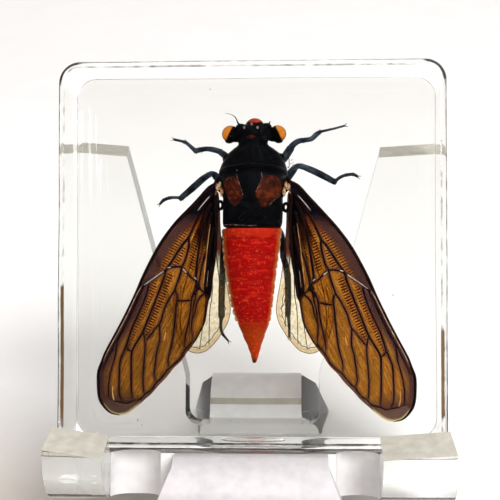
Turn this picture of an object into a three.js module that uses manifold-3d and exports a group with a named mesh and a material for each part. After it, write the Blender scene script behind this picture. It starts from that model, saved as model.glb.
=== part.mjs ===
// A small cicada cast in a clear square resin block, which leans back on a one-piece acrylic easel.
// Millimetres, +Z up. The block's front face looks to -Y and a little up.
//
// Everything is drawn in the block's own frame first: u to the right and v up along the front face,
// w out of it, all from the block's centre. A turned group then leans that frame back.

import * as THREE from "three";
import { mergeVertices } from "three/addons/utils/BufferGeometryUtils.js";
import Module from "manifold-3d";

const wasm = await Module();
wasm.setup();

const rad = THREE.MathUtils.degToRad;

// ---- Driving dimensions

const LEAN = rad(21); // how far the block leans back from upright
const TURN = Math.PI / 2 - LEAN; // the block frame's turn about X

const BLOCK = { width: 40, height: 40, depth: 16, corner: 2.2, edge: 0.6 };
const PARTING = 0.25; // where the front and back castings meet, along w
const PARTING_GAP = 0.2;
const CLEARANCE = 0.35; // room round the insect inside its pocket

const SHEET = 4.5; // thickness of the easel's acrylic sheet
const BEND = 0.8; // inside radius of its heat bends
const REST_GAP = 0.3; // between the block and the easel
const STAND_WIDTH = 40.6;
const TABLE = -27.5; // height of the table below the block's centre

const FOREWING_SHEET = 0.25;
const HINDWING_SHEET = 0.2;
const VEIN_WIDTH = 0.32;
const VEIN_RISE = 0.1;

// ---- Materials

const resin = new THREE.MeshStandardMaterial({
  color: "#f3f4ea",
  roughness: 0.03,
  metalness: 0,
  transparent: true,
  opacity: 0.25,
});
const acrylic = new THREE.MeshStandardMaterial({
  color: "#eef0ee",
  roughness: 0.05,
  metalness: 0,
  transparent: true,
  opacity: 0.3,
});
const blackCuticle = new THREE.MeshStandardMaterial({ color: "#14161a", roughness: 0.4, metalness: 0 });
const redCuticle = new THREE.MeshStandardMaterial({ color: "#c41408", roughness: 0.45, metalness: 0 });
const legCuticle = new THREE.MeshStandardMaterial({ color: "#20252b", roughness: 0.45, metalness: 0 });
const amberWing = new THREE.MeshStandardMaterial({ color: "#8a5a1e", roughness: 0.4, metalness: 0 });
const paleWing = new THREE.MeshStandardMaterial({ color: "#f0e4c0", roughness: 0.5, metalness: 0 });

// ---- Solids: three.js shapes, joined and cut as closed solids

function solid(geometry) {
  geometry.deleteAttribute("normal");
  geometry.deleteAttribute("uv");
  const merged = mergeVertices(geometry, 1e-4);
  const vertProperties = new Float32Array(merged.attributes.position.array);
  const triVerts = new Uint32Array(merged.index.array);
  return new wasm.Manifold(new wasm.Mesh({ numProp: 3, vertProperties, triVerts }));
}

const join = (solids) => solids.reduce((whole, piece) => whole.add(piece));

function meshOf(name, made, material) {
  const { vertProperties, triVerts } = made.getMesh();
  const geometry = new THREE.BufferGeometry();
  geometry.setAttribute("position", new THREE.BufferAttribute(new Float32Array(vertProperties), 3));
  geometry.setIndex(new THREE.BufferAttribute(new Uint32Array(triVerts), 1));
  geometry.computeVertexNormals();
  const mesh = new THREE.Mesh(geometry, material);
  mesh.name = name;
  return mesh;
}

// A round shape turned about the v axis from [radius, v] pairs, flattened along w.
function turned(profile, sides, flatten, middle) {
  const points = profile.map(([radius, v]) => new THREE.Vector2(radius, v));
  const geometry = new THREE.LatheGeometry(points, sides);
  return solid(geometry.scale(1, 1, flatten).translate(...middle));
}

function ellipsoid(radii, middle, sides = 12) {
  const geometry = new THREE.SphereGeometry(1, sides, sides / 2);
  return solid(geometry.scale(...radii).translate(...middle));
}

// A chain of tapered segments that run a little into each other, from [u, v, w, radius] stations.
function limb(stations, sides = 6) {
  const up = new THREE.Vector3(0, 1, 0);
  const segments = stations.slice(1).map(([u, v, w, radius], i) => {
    const [fromU, fromV, fromW, fromRadius] = stations[i];
    const from = new THREE.Vector3(fromU, fromV, fromW);
    const along = new THREE.Vector3(u, v, w).sub(from);
    const shaft = new THREE.CylinderGeometry(radius, fromRadius, along.length() + radius, sides);
    shaft.applyQuaternion(new THREE.Quaternion().setFromUnitVectors(up, along.clone().normalize()));
    const middle = from.addScaledVector(along, 0.5);
    return solid(shaft.translate(middle.x, middle.y, middle.z));
  });
  return join(segments);
}

// A flat outline in u and v, raised from one depth to another.
function plate(shape, fromW, toW, curveSegments = 6) {
  const settings = { depth: toW - fromW, bevelEnabled: false, curveSegments };
  return solid(new THREE.ExtrudeGeometry(shape, settings).translate(0, 0, fromW));
}

// A section in w and v, carried sideways along u.
function bar(section, fromU, toU, curveSegments = 6) {
  const settings = { depth: toU - fromU, bevelEnabled: false, curveSegments };
  const geometry = new THREE.ExtrudeGeometry(section, settings);
  return solid(geometry.translate(0, 0, -toU).rotateY(-Math.PI / 2));
}

// A plan in u and w, carried down along v.
function slab(plan, topV, bottomV, curveSegments = 6) {
  const settings = { depth: topV - bottomV, bevelEnabled: false, curveSegments };
  return solid(new THREE.ExtrudeGeometry(plan, settings).translate(0, 0, -topV).rotateX(Math.PI / 2));
}

const polygon = (points) => new THREE.Shape(points.map(([x, y]) => new THREE.Vector2(x, y)));

// A box that stands level, given from the block's centre: X to the right, Y back and Z up.
function levelBox(size, middle, roll = 0) {
  const geometry = new THREE.BoxGeometry(...size).rotateY(roll).translate(...middle);
  return solid(geometry.rotateX(-TURN));
}

// ---- The cicada's body

// Pronotum and mesonotum: a broad barrel that narrows to the head.
const THORAX = [
  [0, 3.1],
  [3.2, 3.3],
  [3.4, 4.3],
  [3.55, 5.6],
  [3.6, 7.6],
  [3.52, 9],
  [3.25, 9.9],
  [2.95, 10.5],
  [2.45, 11.4],
  [1.95, 12.1],
  [0, 12.2],
];
const THORAX_FLATTEN = 0.93;
const EYE = { across: 2.55, up: 12.8, depth: 0.1, radius: 0.94 };
const LEDGE = { across: 1.35, up: 13.7, depth: 0.1 };

function headAndThorax() {
  const pieces = [
    turned(THORAX, 18, THORAX_FLATTEN, [0, 0, -0.1]),
    ellipsoid([2.15, 1.15, 1.9], [0, 13, -0.2], 12), // head capsule
    ellipsoid([0.92, 1.25, 1.6], [0.1, 13.4, -0.7], 10), // swollen face between the antennae
  ];
  for (const side of [-1, 1]) {
    const eyeAt = [side * EYE.across, EYE.up, EYE.depth];
    pieces.push(ellipsoid([EYE.radius, EYE.radius, EYE.radius], eyeAt, 10));
    pieces.push(ellipsoid([0.62, 0.56, 0.6], [side * LEDGE.across, LEDGE.up, LEDGE.depth], 8));
  }
  // The one antenna that is left, a bristle.
  const antenna = [
    [-1.6, 14.1, 0.2, 0.13],
    [-1.9, 14.8, 0.25, 0.1],
    [-2.4, 15.1, 0.25, 0.08],
    [-2.95, 15.2, 0.25, 0.06],
  ];
  pieces.push(limb(antenna, 5));
  // The beak, folded back under the fore legs.
  const beak = [
    [0.1, 12.9, -2, 0.4],
    [0.1, 11.4, -3, 0.3],
    [0.05, 8.6, -3.6, 0.18],
  ];
  pieces.push(limb(beak, 5));
  // The raised cross at the back of the mesonotum.
  for (const side of [-1, 1]) {
    const arm = [
      [side * 1.1, 3.9, 2.75, 0.28],
      [-side * 1.1, 5.3, 2.95, 0.28],
    ];
    pieces.push(limb(arm, 5));
  }
  return join(pieces);
}

// Rear edge of each abdominal ring, as [radius, v]; the rings step in slightly at each one.
const RINGS = [
  [3.1, 2.75],
  [3.05, 1.7],
  [2.95, 0.1],
  [2.72, -1.45],
  [2.5, -2.9],
  [2.32, -4],
  [2.07, -5.4],
  [1.68, -7.1],
  [0.95, -8.9],
  [0.48, -10.4],
  [0.12, -11.35],
];
const RING_STEP = 0.05;
const ABDOMEN_FLATTEN = 0.84;
const ABDOMEN_MIDDLE = [-0.12, 0, -0.1];

function abdomen() {
  const profile = [[0, RINGS[0][1]]];
  RINGS.forEach(([radius, v], i) => {
    profile.push([radius, v]);
    if (i > 0 && radius > 0.9) profile.push([radius - RING_STEP, v - 2 * RING_STEP]);
  });
  profile.push([0, RINGS.at(-1)[1]]);
  return turned(profile.reverse(), 18, ABDOMEN_FLATTEN, ABDOMEN_MIDDLE);
}

// ---- Legs: [u, v, w, radius] at the hip, the joints and the end of the foot

const LEGS = {
  leg_fore_left: [
    [-2.95, 10.7, -2, 0.28],
    [-3.6, 11.3, -2.2, 0.32],
    [-6.3, 11.4, -2.6, 0.25],
    [-7.5, 12.2, -2.8, 0.18],
    [-8.8, 12.6, -3, 0.11],
  ],
  leg_fore_right: [
    [3.1, 10.5, -2, 0.34],
    [4.2, 11.4, -2.2, 0.42],
    [5.1, 12.2, -2.4, 0.26],
    [6.6, 12.7, -2.7, 0.22],
    [7.7, 13.4, -2.9, 0.17],
    [9.7, 13.8, -3.1, 0.11],
  ],
  leg_mid_left: [
    [-3.7, 8.5, -2, 0.28],
    [-4.9, 8.6, -2.3, 0.3],
    [-5.7, 8, -2.5, 0.32],
    [-7.8, 6.2, -2.8, 0.22],
    [-9.4, 6.2, -3, 0.12],
    [-10.3, 5.6, -3.2, 0.1],
  ],
  leg_mid_right: [
    [3.75, 8.4, -2, 0.28],
    [4.8, 9.6, -2.3, 0.3],
    [5.5, 9.5, -2.4, 0.28],
    [8.7, 8, -2.9, 0.24],
    [10.2, 8.7, -3, 0.12],
    [11.2, 8.5, -3.1, 0.1],
  ],
  leg_hind_left: [
    [-3.2, 2.3, -2.9, 0.28],
    [-3.45, -1.3, -2.3, 0.27],
    [-3.45, -6.3, -2, 0.22],
    [-3.55, -8.1, -2.1, 0.11],
    [-2.7, -9.2, -2.2, 0.09],
  ],
  leg_hind_right: [
    [3.2, 2.3, -2.9, 0.28],
    [3.6, -2.2, -2.3, 0.27],
    [3.7, -6.5, -2, 0.22],
    [3.8, -7.6, -2.1, 0.12],
    [3.8, -8.9, -2.2, 0.1],
  ],
};

// ---- Wings, drawn for the right side in u and v and mirrored for the left

const FOREWING_EDGE = [
  [4, 7.7],
  [5.9, 6.1],
  [8.8, 2.7],
  [12.1, -2.3],
  [14.6, -7.7],
  [16.5, -11.5],
  [17, -14],
  [16.4, -16.5],
  [14.8, -17.5],
  [12.2, -16],
  [9.7, -13.5],
  [7.3, -10.5],
  [5.5, -7.5],
  [4.6, -3.5],
  [4.05, 1.5],
  [3.9, 5],
];
const FOREWING_VEINS = [
  // leading edge, then the nodal line across the wing
  [[4.4, 6.9], [8.6, 2.4], [12.2, -3.2], [15, -9.2], [16.6, -13.2]],
  [[12.4, -3.8], [9.7, -1.9], [8, -1.6], [6.1, -3.5], [4.9, -4]],
  // radius and its branch
  [[4.9, 6], [7.2, 1.7], [9.7, -1.9], [12.2, -8.5], [13.5, -11], [13.4, -16]],
  [[11.6, -3.4], [13.4, -8.1], [14.7, -11.8], [14.5, -16]],
  // media and its branch
  [[7.2, 1.7], [8, -1.6], [8.7, -4], [8.5, -5.2], [9.4, -12.4]],
  [[8.7, -4], [10.4, -8], [11, -13.2], [10.8, -13.9]],
  // cubitus, the inner edge's vein, and the line behind the outer margin
  [[4.6, 5.6], [6.1, -3.5], [7.3, -7.7], [7.6, -10.4]],
  [[4.3, 4.6], [5, -4], [6.8, -9.2]],
  [[6.8, -9.4], [9.4, -12.5], [12, -15.2], [13.9, -16.3], [16.2, -15.2]],
];
const FOREWING_DEPTH = 0.7;
const FOREWING_DROOP = 0.024; // the tips lie deeper in the block than the hinges

const HINDWING_EDGE = [
  [3.95, 6.6],
  [4.8, 5.4],
  [6.3, 1.8],
  [7.9, -2],
  [8.7, -5],
  [8.2, -7.8],
  [6.8, -9.5],
  [5.9, -10.3],
  [5, -10.1],
  [4.1, -9.2],
  [3.3, -8.1],
  [2.85, -6.8],
  [2.75, -5.2],
  [3.05, -2.9],
  [3.5, -0.6],
  [3.65, 2.7],
];
const HINDWING_VEINS = [
  [[4.2, 5.4], [3.9, -1], [3.3, -5], [3.5, -7.6]],
  [[4.3, 5], [4.4, -2], [4.4, -8.8]],
  [[4.5, 5], [5.6, -2], [5.5, -9.6]],
  [[4.7, 4.6], [7, -3], [6.8, -8.8]],
];
const HINDWING_DEPTH = -0.35;

// Where the wings lie between, for the slot that holds them.
const WING_SLOT = { bottom: -0.9, top: 1.4 };

const mirrored = (points, side) => points.map(([u, v]) => [side * u, v]);

// The points moved outwards across the outline by a distance; inwards if it is negative.
function spread(points, distance) {
  return points.map(([u, v], i) => {
    const [beforeU, beforeV] = points.at(i - 1);
    const [afterU, afterV] = points[(i + 1) % points.length];
    const out = new THREE.Vector2(beforeV - afterV, afterU - beforeU).setLength(distance);
    return [u + out.x, v + out.y];
  });
}

function smoothOutline(points, steps) {
  const curve = new THREE.CatmullRomCurve3(
    points.map(([u, v]) => new THREE.Vector3(u, v, 0)),
    true,
  );
  return new THREE.Shape(curve.getPoints(steps).slice(0, -1).map((p) => new THREE.Vector2(p.x, p.y)));
}

// A vein: a strip of even width along a chain of points.
function veinStrip(points, width) {
  const left = [];
  const right = [];
  points.forEach(([u, v], i) => {
    const [beforeU, beforeV] = points[Math.max(i - 1, 0)];
    const [afterU, afterV] = points[Math.min(i + 1, points.length - 1)];
    const across = new THREE.Vector2(beforeV - afterV, afterU - beforeU).setLength(width / 2);
    left.push([u + across.x, v + across.y]);
    right.unshift([u - across.x, v - across.y]);
  });
  return polygon([...left, ...right]);
}

function wing(edge, veins, side, sheet, steps) {
  const outline = smoothOutline(mirrored(edge, side), steps);
  const membrane = plate(outline, 0, sheet);
  const limits = plate(outline, -1, 1);
  const strips = veins.map((vein) => {
    const strip = veinStrip(mirrored(vein, side), VEIN_WIDTH);
    return plate(strip, sheet / 2, sheet + VEIN_RISE);
  });
  return membrane.add(join(strips).intersect(limits));
}

// ---- The resin block, cast in two layers round the insect

function roundedSquare(width, height, corner) {
  const shape = new THREE.Shape();
  const u = width / 2 - corner;
  const v = height / 2 - corner;
  shape.absarc(u, v, corner, 0, Math.PI / 2);
  shape.absarc(-u, v, corner, Math.PI / 2, Math.PI);
  shape.absarc(-u, -v, corner, Math.PI, 1.5 * Math.PI);
  shape.absarc(u, -v, corner, 1.5 * Math.PI, 2 * Math.PI);
  return shape;
}

function wholeBlock() {
  const { width, height, depth, corner, edge } = BLOCK;
  const settings = {
    depth: depth - 2 * edge,
    bevelThickness: edge,
    bevelSize: edge,
    bevelOffset: -edge,
    bevelSegments: 2,
    curveSegments: 5,
  };
  const geometry = new THREE.ExtrudeGeometry(roundedSquare(width, height, corner), settings);
  return solid(geometry.translate(0, 0, edge - depth / 2));
}

// The insect's outline in the round, with clearance, as [radius, v].
const BODY_POCKET = [
  [0, -11.8],
  [0.6, -11.6],
  [0.95, -10.3],
  [1.45, -8.9],
  [2.15, -7],
  [2.6, -5.3],
  [3.05, -2.8],
  [3.5, 0.1],
  [3.7, 2.6],
  [4.05, 4.5],
  [4.05, 9],
  [3.95, 13.6],
  [2.8, 14.7],
  [1.4, 15.05],
  [0, 15.1],
];

// A leg's slot: straight-sided, from under the leg up to the parting face.
function legSlot(stations) {
  const boxes = stations.slice(1).map(([u, v, w, radius], i) => {
    const [fromU, fromV, fromW, fromRadius] = stations[i];
    const half = Math.max(radius, fromRadius) + CLEARANCE;
    const bottom = Math.min(w, fromW) - half;
    const length = Math.hypot(u - fromU, v - fromV) + 2 * half;
    const box = new THREE.BoxGeometry(length, 2 * half, PARTING - bottom);
    box.rotateZ(Math.atan2(v - fromV, u - fromU));
    return solid(box.translate((u + fromU) / 2, (v + fromV) / 2, (PARTING + bottom) / 2));
  });
  return join(boxes);
}

function insectPocket() {
  const pieces = [turned(BODY_POCKET, 16, 1, [0, 0, 0])];
  for (const side of [-1, 1]) {
    for (const edge of [FOREWING_EDGE, HINDWING_EDGE]) {
      const outline = smoothOutline(mirrored(spread(edge, CLEARANCE + 0.1), side), 26);
      pieces.push(plate(outline, WING_SLOT.bottom, WING_SLOT.top));
    }
  }
  for (const stations of Object.values(LEGS)) pieces.push(legSlot(stations));
  pieces.push(solid(new THREE.BoxGeometry(2.4, 1.8, 1.1).translate(-2.2, 14.8, PARTING))); // antenna
  return join(pieces);
}

function resinHalves() {
  const cast = wholeBlock().subtract(insectPocket());
  const span = 2 * BLOCK.width;
  const front = new THREE.BoxGeometry(span, span, span).translate(0, 0, PARTING + (PARTING_GAP + span) / 2);
  const back = new THREE.BoxGeometry(span, span, span).translate(0, 0, PARTING - (PARTING_GAP + span) / 2);
  return { front: cast.intersect(solid(front)), back: cast.intersect(solid(back)) };
}

// ---- The easel: one acrylic sheet, cut and heat-bent

const FACE = BLOCK.depth / 2 + REST_GAP; // inner face of the lips and of the back
const OUTER = FACE + SHEET;
const SHELF_TOP = -BLOCK.height / 2 - REST_GAP;
const SHELF_BOTTOM = SHELF_TOP - SHEET;
const ROUND = BEND + SHEET; // outside radius of the bends
const ARM_END = { u: STAND_WIDTH / 2, y: 16, z: 8.6 }; // cut across the back arms' ends, at their outside
const LIP_END = { u: STAND_WIDTH / 2, y: -19, z: -13.3 };
const END_SLOPE = 0.15; // both cuts are level from front to back and fall towards the middle
const VEE = { topHalf: 13.8, topV: 12, bottomHalf: 7.4, bottomV: -13 };
const LIP_INNER_HALF = 13.6;
const NOTCH_ROUND = 2.2; // end radius of the relief notches beside the front foot
const FOOT_HALF = { notch: 8.9, top: 7.8, middle: 9.2, bottom: 10.6 };
const LEG_HALF = { root: 4.9, bend: 6.8, foot: 10.4 };
const LEG_ANGLE = rad(114); // how far the rear leg is bent back from the back's plane
const LEG_LENGTH = 24;
const BEND_V = SHELF_BOTTOM + 7.2; // where the rear leg's bend starts, and the end of its relief slots
const FRONT_BEND_W = OUTER - ROUND; // where the front foot's bend starts
const ROOT = 2; // how far each tongue is drawn into the sheet that it grows from
const ROOT_INSET = 0.5;

// Back, shelf and lips in one J.
function jSection() {
  const section = new THREE.Shape();
  const top = BLOCK.height / 2;
  section.moveTo(-OUTER, top);
  section.lineTo(-OUTER, SHELF_BOTTOM + ROUND);
  section.absarc(ROUND - OUTER, SHELF_BOTTOM + ROUND, ROUND, Math.PI, 1.5 * Math.PI);
  section.absarc(OUTER - ROUND, SHELF_BOTTOM + ROUND, ROUND, 1.5 * Math.PI, 2 * Math.PI);
  section.lineTo(OUTER, SHELF_TOP + SHEET);
  section.lineTo(FACE, SHELF_TOP + SHEET);
  section.absarc(FACE - BEND, SHELF_TOP + BEND, BEND, 0, -Math.PI / 2, true);
  section.absarc(BEND - FACE, SHELF_TOP + BEND, BEND, -Math.PI / 2, -Math.PI, true);
  section.lineTo(-FACE, top);
  return section;
}

// The tongue cut from the back's middle and bent backwards and down to the table.
function rearLegSection() {
  const middle = -FACE - ROUND;
  const along = new THREE.Vector2(-Math.sin(LEG_ANGLE), Math.cos(LEG_ANGLE)).multiplyScalar(LEG_LENGTH);
  const endAt = (radius) => [
    middle + radius * Math.cos(LEG_ANGLE) + along.x,
    BEND_V + radius * Math.sin(LEG_ANGLE) + along.y,
  ];
  const section = new THREE.Shape();
  section.moveTo(-FACE - ROOT_INSET, BEND_V - ROOT);
  section.lineTo(-FACE - ROOT_INSET, BEND_V);
  section.absarc(middle, BEND_V, ROUND, 0, LEG_ANGLE);
  section.lineTo(...endAt(ROUND));
  section.lineTo(...endAt(BEND));
  section.absarc(middle, BEND_V, BEND, LEG_ANGLE, 0, true);
  section.lineTo(-OUTER + ROOT_INSET, BEND_V);
  section.lineTo(-OUTER + ROOT_INSET, BEND_V - ROOT);
  return section;
}

// The tongue of the shelf between the lips, bent down to the table in front.
function frontFootSection() {
  const bendV = SHELF_TOP - ROUND;
  const section = new THREE.Shape();
  section.moveTo(FRONT_BEND_W - ROOT, SHELF_TOP - ROOT_INSET);
  section.lineTo(FRONT_BEND_W, SHELF_TOP - ROOT_INSET);
  section.absarc(FRONT_BEND_W, bendV, ROUND, Math.PI / 2, 0, true);
  section.lineTo(OUTER, bendV - 2 * ROUND);
  section.lineTo(FACE, bendV - 2 * ROUND);
  section.absarc(FRONT_BEND_W, bendV, BEND, 0, Math.PI / 2);
  section.lineTo(FRONT_BEND_W, SHELF_BOTTOM + ROOT_INSET);
  section.lineTo(FRONT_BEND_W - ROOT, SHELF_BOTTOM + ROOT_INSET);
  return section;
}

// The opening between the back arms, down to the relief slots beside the rear leg's bend.
function veeShape() {
  const slope = (VEE.topHalf - VEE.bottomHalf) / (VEE.topV - VEE.bottomV);
  const high = BLOCK.height;
  const highHalf = VEE.topHalf + (high - VEE.topV) * slope;
  return polygon([
    [-highHalf, high],
    [-VEE.bottomHalf, VEE.bottomV],
    [-VEE.bottomHalf, BEND_V],
    [VEE.bottomHalf, BEND_V],
    [VEE.bottomHalf, VEE.bottomV],
    [highHalf, high],
  ]);
}

// Plan of what is cut away between the lips: a U-shaped notch on each side of the front foot.
function frontCutPlan() {
  const far = OUTER + 1;
  const plan = new THREE.Shape();
  const lip = LIP_INNER_HALF - NOTCH_ROUND;
  const foot = FOOT_HALF.notch + NOTCH_ROUND;
  plan.moveTo(LIP_INNER_HALF, far);
  plan.lineTo(LIP_INNER_HALF, FRONT_BEND_W);
  plan.absarc(lip, FRONT_BEND_W, NOTCH_ROUND, 0, -Math.PI / 2, true);
  plan.absarc(foot, FRONT_BEND_W, NOTCH_ROUND, -Math.PI / 2, -Math.PI, true);
  plan.absarc(-foot, FRONT_BEND_W, NOTCH_ROUND, 0, -Math.PI / 2, true);
  plan.absarc(-lip, FRONT_BEND_W, NOTCH_ROUND, -Math.PI / 2, -Math.PI, true);
  plan.lineTo(-LIP_INNER_HALF, far);
  return plan;
}

// Outline of the rear leg from above: narrow in its bend, wide at the foot, as the vee was cut.
function rearLegPlan() {
  const bendW = -OUTER - ROUND / 2;
  const farW = -OUTER - LEG_LENGTH;
  return polygon([
    [-LEG_HALF.root, 0],
    [-LEG_HALF.root, bendW],
    [-LEG_HALF.bend, bendW - ROUND / 2],
    [-LEG_HALF.foot, farW],
    [LEG_HALF.foot, farW],
    [LEG_HALF.bend, bendW - ROUND / 2],
    [LEG_HALF.root, bendW],
    [LEG_HALF.root, 0],
  ]);
}

function frontFootOutline() {
  const { top, middle, bottom } = FOOT_HALF;
  const low = SHELF_BOTTOM - 3 * SHEET;
  return polygon([
    [-top, SHELF_TOP + 1],
    [-top, SHELF_TOP - 1],
    [-middle, SHELF_BOTTOM],
    [-bottom, SHELF_BOTTOM - SHEET],
    [-bottom, low],
    [bottom, low],
    [bottom, SHELF_BOTTOM - SHEET],
    [middle, SHELF_BOTTOM],
    [top, SHELF_TOP - 1],
    [top, SHELF_TOP + 1],
  ]);
}

// What is cut off above an arm or lip: level from front to back, falling towards the middle.
function endCut(end, side) {
  const size = [18, 16, 20];
  const inwards = 5;
  const z = end.z + size[2] / 2 - END_SLOPE * inwards;
  return levelBox(size, [side * (end.u - inwards), end.y, z], -side * END_SLOPE);
}

function easel() {
  const half = STAND_WIDTH / 2;
  let stand = bar(jSection(), -half, half);
  stand = stand.subtract(plate(veeShape(), -OUTER - 1, -FACE + BEND));
  stand = stand.subtract(slab(frontCutPlan(), 0, SHELF_BOTTOM - 1));
  for (const side of [-1, 1]) {
    stand = stand.subtract(endCut(ARM_END, side)).subtract(endCut(LIP_END, side));
  }
  stand = stand.add(bar(rearLegSection(), -half, half).intersect(slab(rearLegPlan(), 0, -2 * BLOCK.height)));
  stand = stand.add(bar(frontFootSection(), -half, half).intersect(plate(frontFootOutline(), 0, OUTER + 1)));
  const underTable = BLOCK.height;
  return stand.subtract(levelBox([60, 120, underTable], [0, 0, TABLE - underTable / 2]));
}

// ---- Assembly

const leaning = new THREE.Group();
leaning.rotation.x = TURN;

const halves = resinHalves();
leaning.add(meshOf("resin_block_front", halves.front, resin));
leaning.add(meshOf("resin_block_back", halves.back, resin));
leaning.add(meshOf("cicada_head_thorax", headAndThorax(), blackCuticle));
leaning.add(meshOf("cicada_abdomen", abdomen(), redCuticle));
for (const [name, stations] of Object.entries(LEGS)) {
  leaning.add(meshOf(name, limb(stations), legCuticle));
}
for (const [hand, side] of [["left", -1], ["right", 1]]) {
  const forewing = wing(FOREWING_EDGE, FOREWING_VEINS, side, FOREWING_SHEET, 44);
  const fore = meshOf("forewing_" + hand, forewing, amberWing);
  fore.position.z = FOREWING_DEPTH;
  fore.rotation.x = FOREWING_DROOP;
  leaning.add(fore);
  const hindwing = wing(HINDWING_EDGE, HINDWING_VEINS, side, HINDWING_SHEET, 32);
  const hind = meshOf("hindwing_" + hand, hindwing, paleWing);
  hind.position.z = HINDWING_DEPTH;
  leaning.add(hind);
}
leaning.add(meshOf("display_stand", easel(), acrylic));

const specimen = new THREE.Group();
specimen.add(leaning);
const bounds = new THREE.Box3().setFromObject(specimen, true);
leaning.position.set(0, -(bounds.min.y + bounds.max.y) / 2, -bounds.min.z);

export default specimen;
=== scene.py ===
import math

import bmesh
import bpy
import numpy as np
from mathutils import Matrix, Vector, geometry, noise


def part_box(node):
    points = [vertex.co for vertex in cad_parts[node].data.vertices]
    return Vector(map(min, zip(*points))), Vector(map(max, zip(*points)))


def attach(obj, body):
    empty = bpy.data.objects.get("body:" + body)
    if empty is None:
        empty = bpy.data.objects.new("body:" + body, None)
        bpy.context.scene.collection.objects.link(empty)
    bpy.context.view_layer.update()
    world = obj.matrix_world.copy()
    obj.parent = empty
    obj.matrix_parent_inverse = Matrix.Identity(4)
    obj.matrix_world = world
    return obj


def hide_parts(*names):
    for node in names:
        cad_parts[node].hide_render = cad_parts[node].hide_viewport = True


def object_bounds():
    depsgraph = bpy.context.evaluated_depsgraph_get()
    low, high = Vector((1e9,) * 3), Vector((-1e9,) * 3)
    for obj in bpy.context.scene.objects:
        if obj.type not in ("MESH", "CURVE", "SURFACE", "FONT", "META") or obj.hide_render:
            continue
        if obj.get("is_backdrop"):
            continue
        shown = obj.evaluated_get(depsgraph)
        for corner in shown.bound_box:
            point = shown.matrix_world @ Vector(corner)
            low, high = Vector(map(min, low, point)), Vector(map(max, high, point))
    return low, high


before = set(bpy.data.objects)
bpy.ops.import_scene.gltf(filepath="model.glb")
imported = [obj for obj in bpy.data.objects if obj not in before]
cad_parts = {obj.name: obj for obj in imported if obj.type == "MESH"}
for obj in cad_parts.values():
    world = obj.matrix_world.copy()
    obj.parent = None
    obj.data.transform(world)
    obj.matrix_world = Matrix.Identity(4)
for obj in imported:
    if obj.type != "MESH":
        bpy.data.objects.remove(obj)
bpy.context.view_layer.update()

scene = bpy.context.scene

# ---- Resin block
# Clear polyester cast in a mould, 40 x 40 x 16 mm, and buffed: flat faces, finely rounded edges, sides that
# wander a little, a faint green-yellow cast in its depth, and a few bubbles that rose round the insect.
BLOCK_HALF = 19.98
BLOCK_HALF_DEPTH = 7.98
BLOCK_CORNER = 2.2
BLOCK_EDGE = 0.75
BACK_EDGE = 0.08
SIDE_WANDER = 0.09

# The block leans back 21 degrees in its easel. Every piece below is drawn in the block's own frame, in
# millimetres from the block's middle: u to the right, v up its face, w out of its face.
MM = 0.001
LEAN = math.radians(21)
corners = [corner for half in ("resin_block_front", "resin_block_back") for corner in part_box(half)]
block_middle = (Vector(map(min, *corners)) + Vector(map(max, *corners))) / 2
block_frame = Matrix.Translation(block_middle) @ Matrix.Rotation(math.pi / 2 - LEAN, 4, "X")


def linear(hex_colour):
    """An sRGB colour such as "c81408" as linear red, green, blue and 1."""
    parts = [int(hex_colour[i : i + 2], 16) / 255 for i in (0, 2, 4)]
    return (*[c / 12.92 if c <= 0.04045 else ((c + 0.055) / 1.055) ** 2.4 for c in parts], 1)


def blank_material(name, *masks, places="block_mm"):
    """An empty material, its surface socket, the stored places that its patterns follow, and its piece's masks."""
    material = bpy.data.materials.new(name)
    material.use_nodes = True
    material.node_tree.nodes.clear()
    surface = material.node_tree.nodes.new("ShaderNodeOutputMaterial").inputs["Surface"]
    where = add_node(material, "Attribute", attribute_name=places).outputs["Vector"]
    return material, surface, where, *[add_node(material, "Attribute", attribute_name=m).outputs["Fac"] for m in masks]


def add_node(material, kind, inputs={}, feeds={}, **settings):
    """Adds one node with its settings, what goes into its sockets, and the sockets that its outputs feed."""
    nodes, links = material.node_tree.nodes, material.node_tree.links
    made = nodes.new("ShaderNode" + kind)
    for setting, value in settings.items():
        setattr(made, setting, value)
    for socket, value in inputs.items():
        if isinstance(value, bpy.types.NodeSocket):
            links.new(value, made.inputs[socket])
        else:
            made.inputs[socket].default_value = linear(value) if isinstance(value, str) else value
    for socket, fed in feeds.items():
        links.new(made.outputs[socket], fed)
    return made


def layered(material, colour, *layers):
    """Lays colours over one another, each as its share rises from start to end, up to its strength."""
    for over, share, start, end, strength in layers:
        area = add_node(material, "MapRange", {"Value": share, "From Min": start, "From Max": end, "To Max": strength})
        parts = {"Factor": area.outputs["Result"], "A": colour, "B": over}
        colour = add_node(material, "Mix", parts, data_type="RGBA").outputs[2]
    return colour


def place(piece, replaced=()):
    """Puts a piece drawn in the block's frame in its place, to ride on the part's one body."""
    drawn = np.empty(len(piece.data.vertices) * 3, np.float32)
    piece.data.vertices.foreach_get("co", drawn)
    in_block = piece.data.attributes.new("block_mm", "FLOAT_VECTOR", "POINT")
    in_block.data.foreach_set("vector", drawn / MM)
    piece.data.transform(block_frame)
    piece.data.update()
    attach(piece, "root")
    if replaced:
        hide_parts(*replaced)
    return piece


def object_of(name, points, faces, *materials):
    mesh = bpy.data.meshes.new(name)
    mesh.from_pydata([Vector(point) * MM for point in points], [], faces)
    mesh.validate()
    for material in materials:
        mesh.materials.append(material)
    mesh.shade_smooth()
    made = bpy.data.objects.new(name, mesh)
    scene.collection.objects.link(made)
    return made


def set_mask(piece, name, values):
    """Gives every point of a piece a number that its material reads by name."""
    made = piece.data.attributes.new(name, "FLOAT", "POINT")
    made.data.foreach_set("value", np.asarray(values, np.float32))


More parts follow.
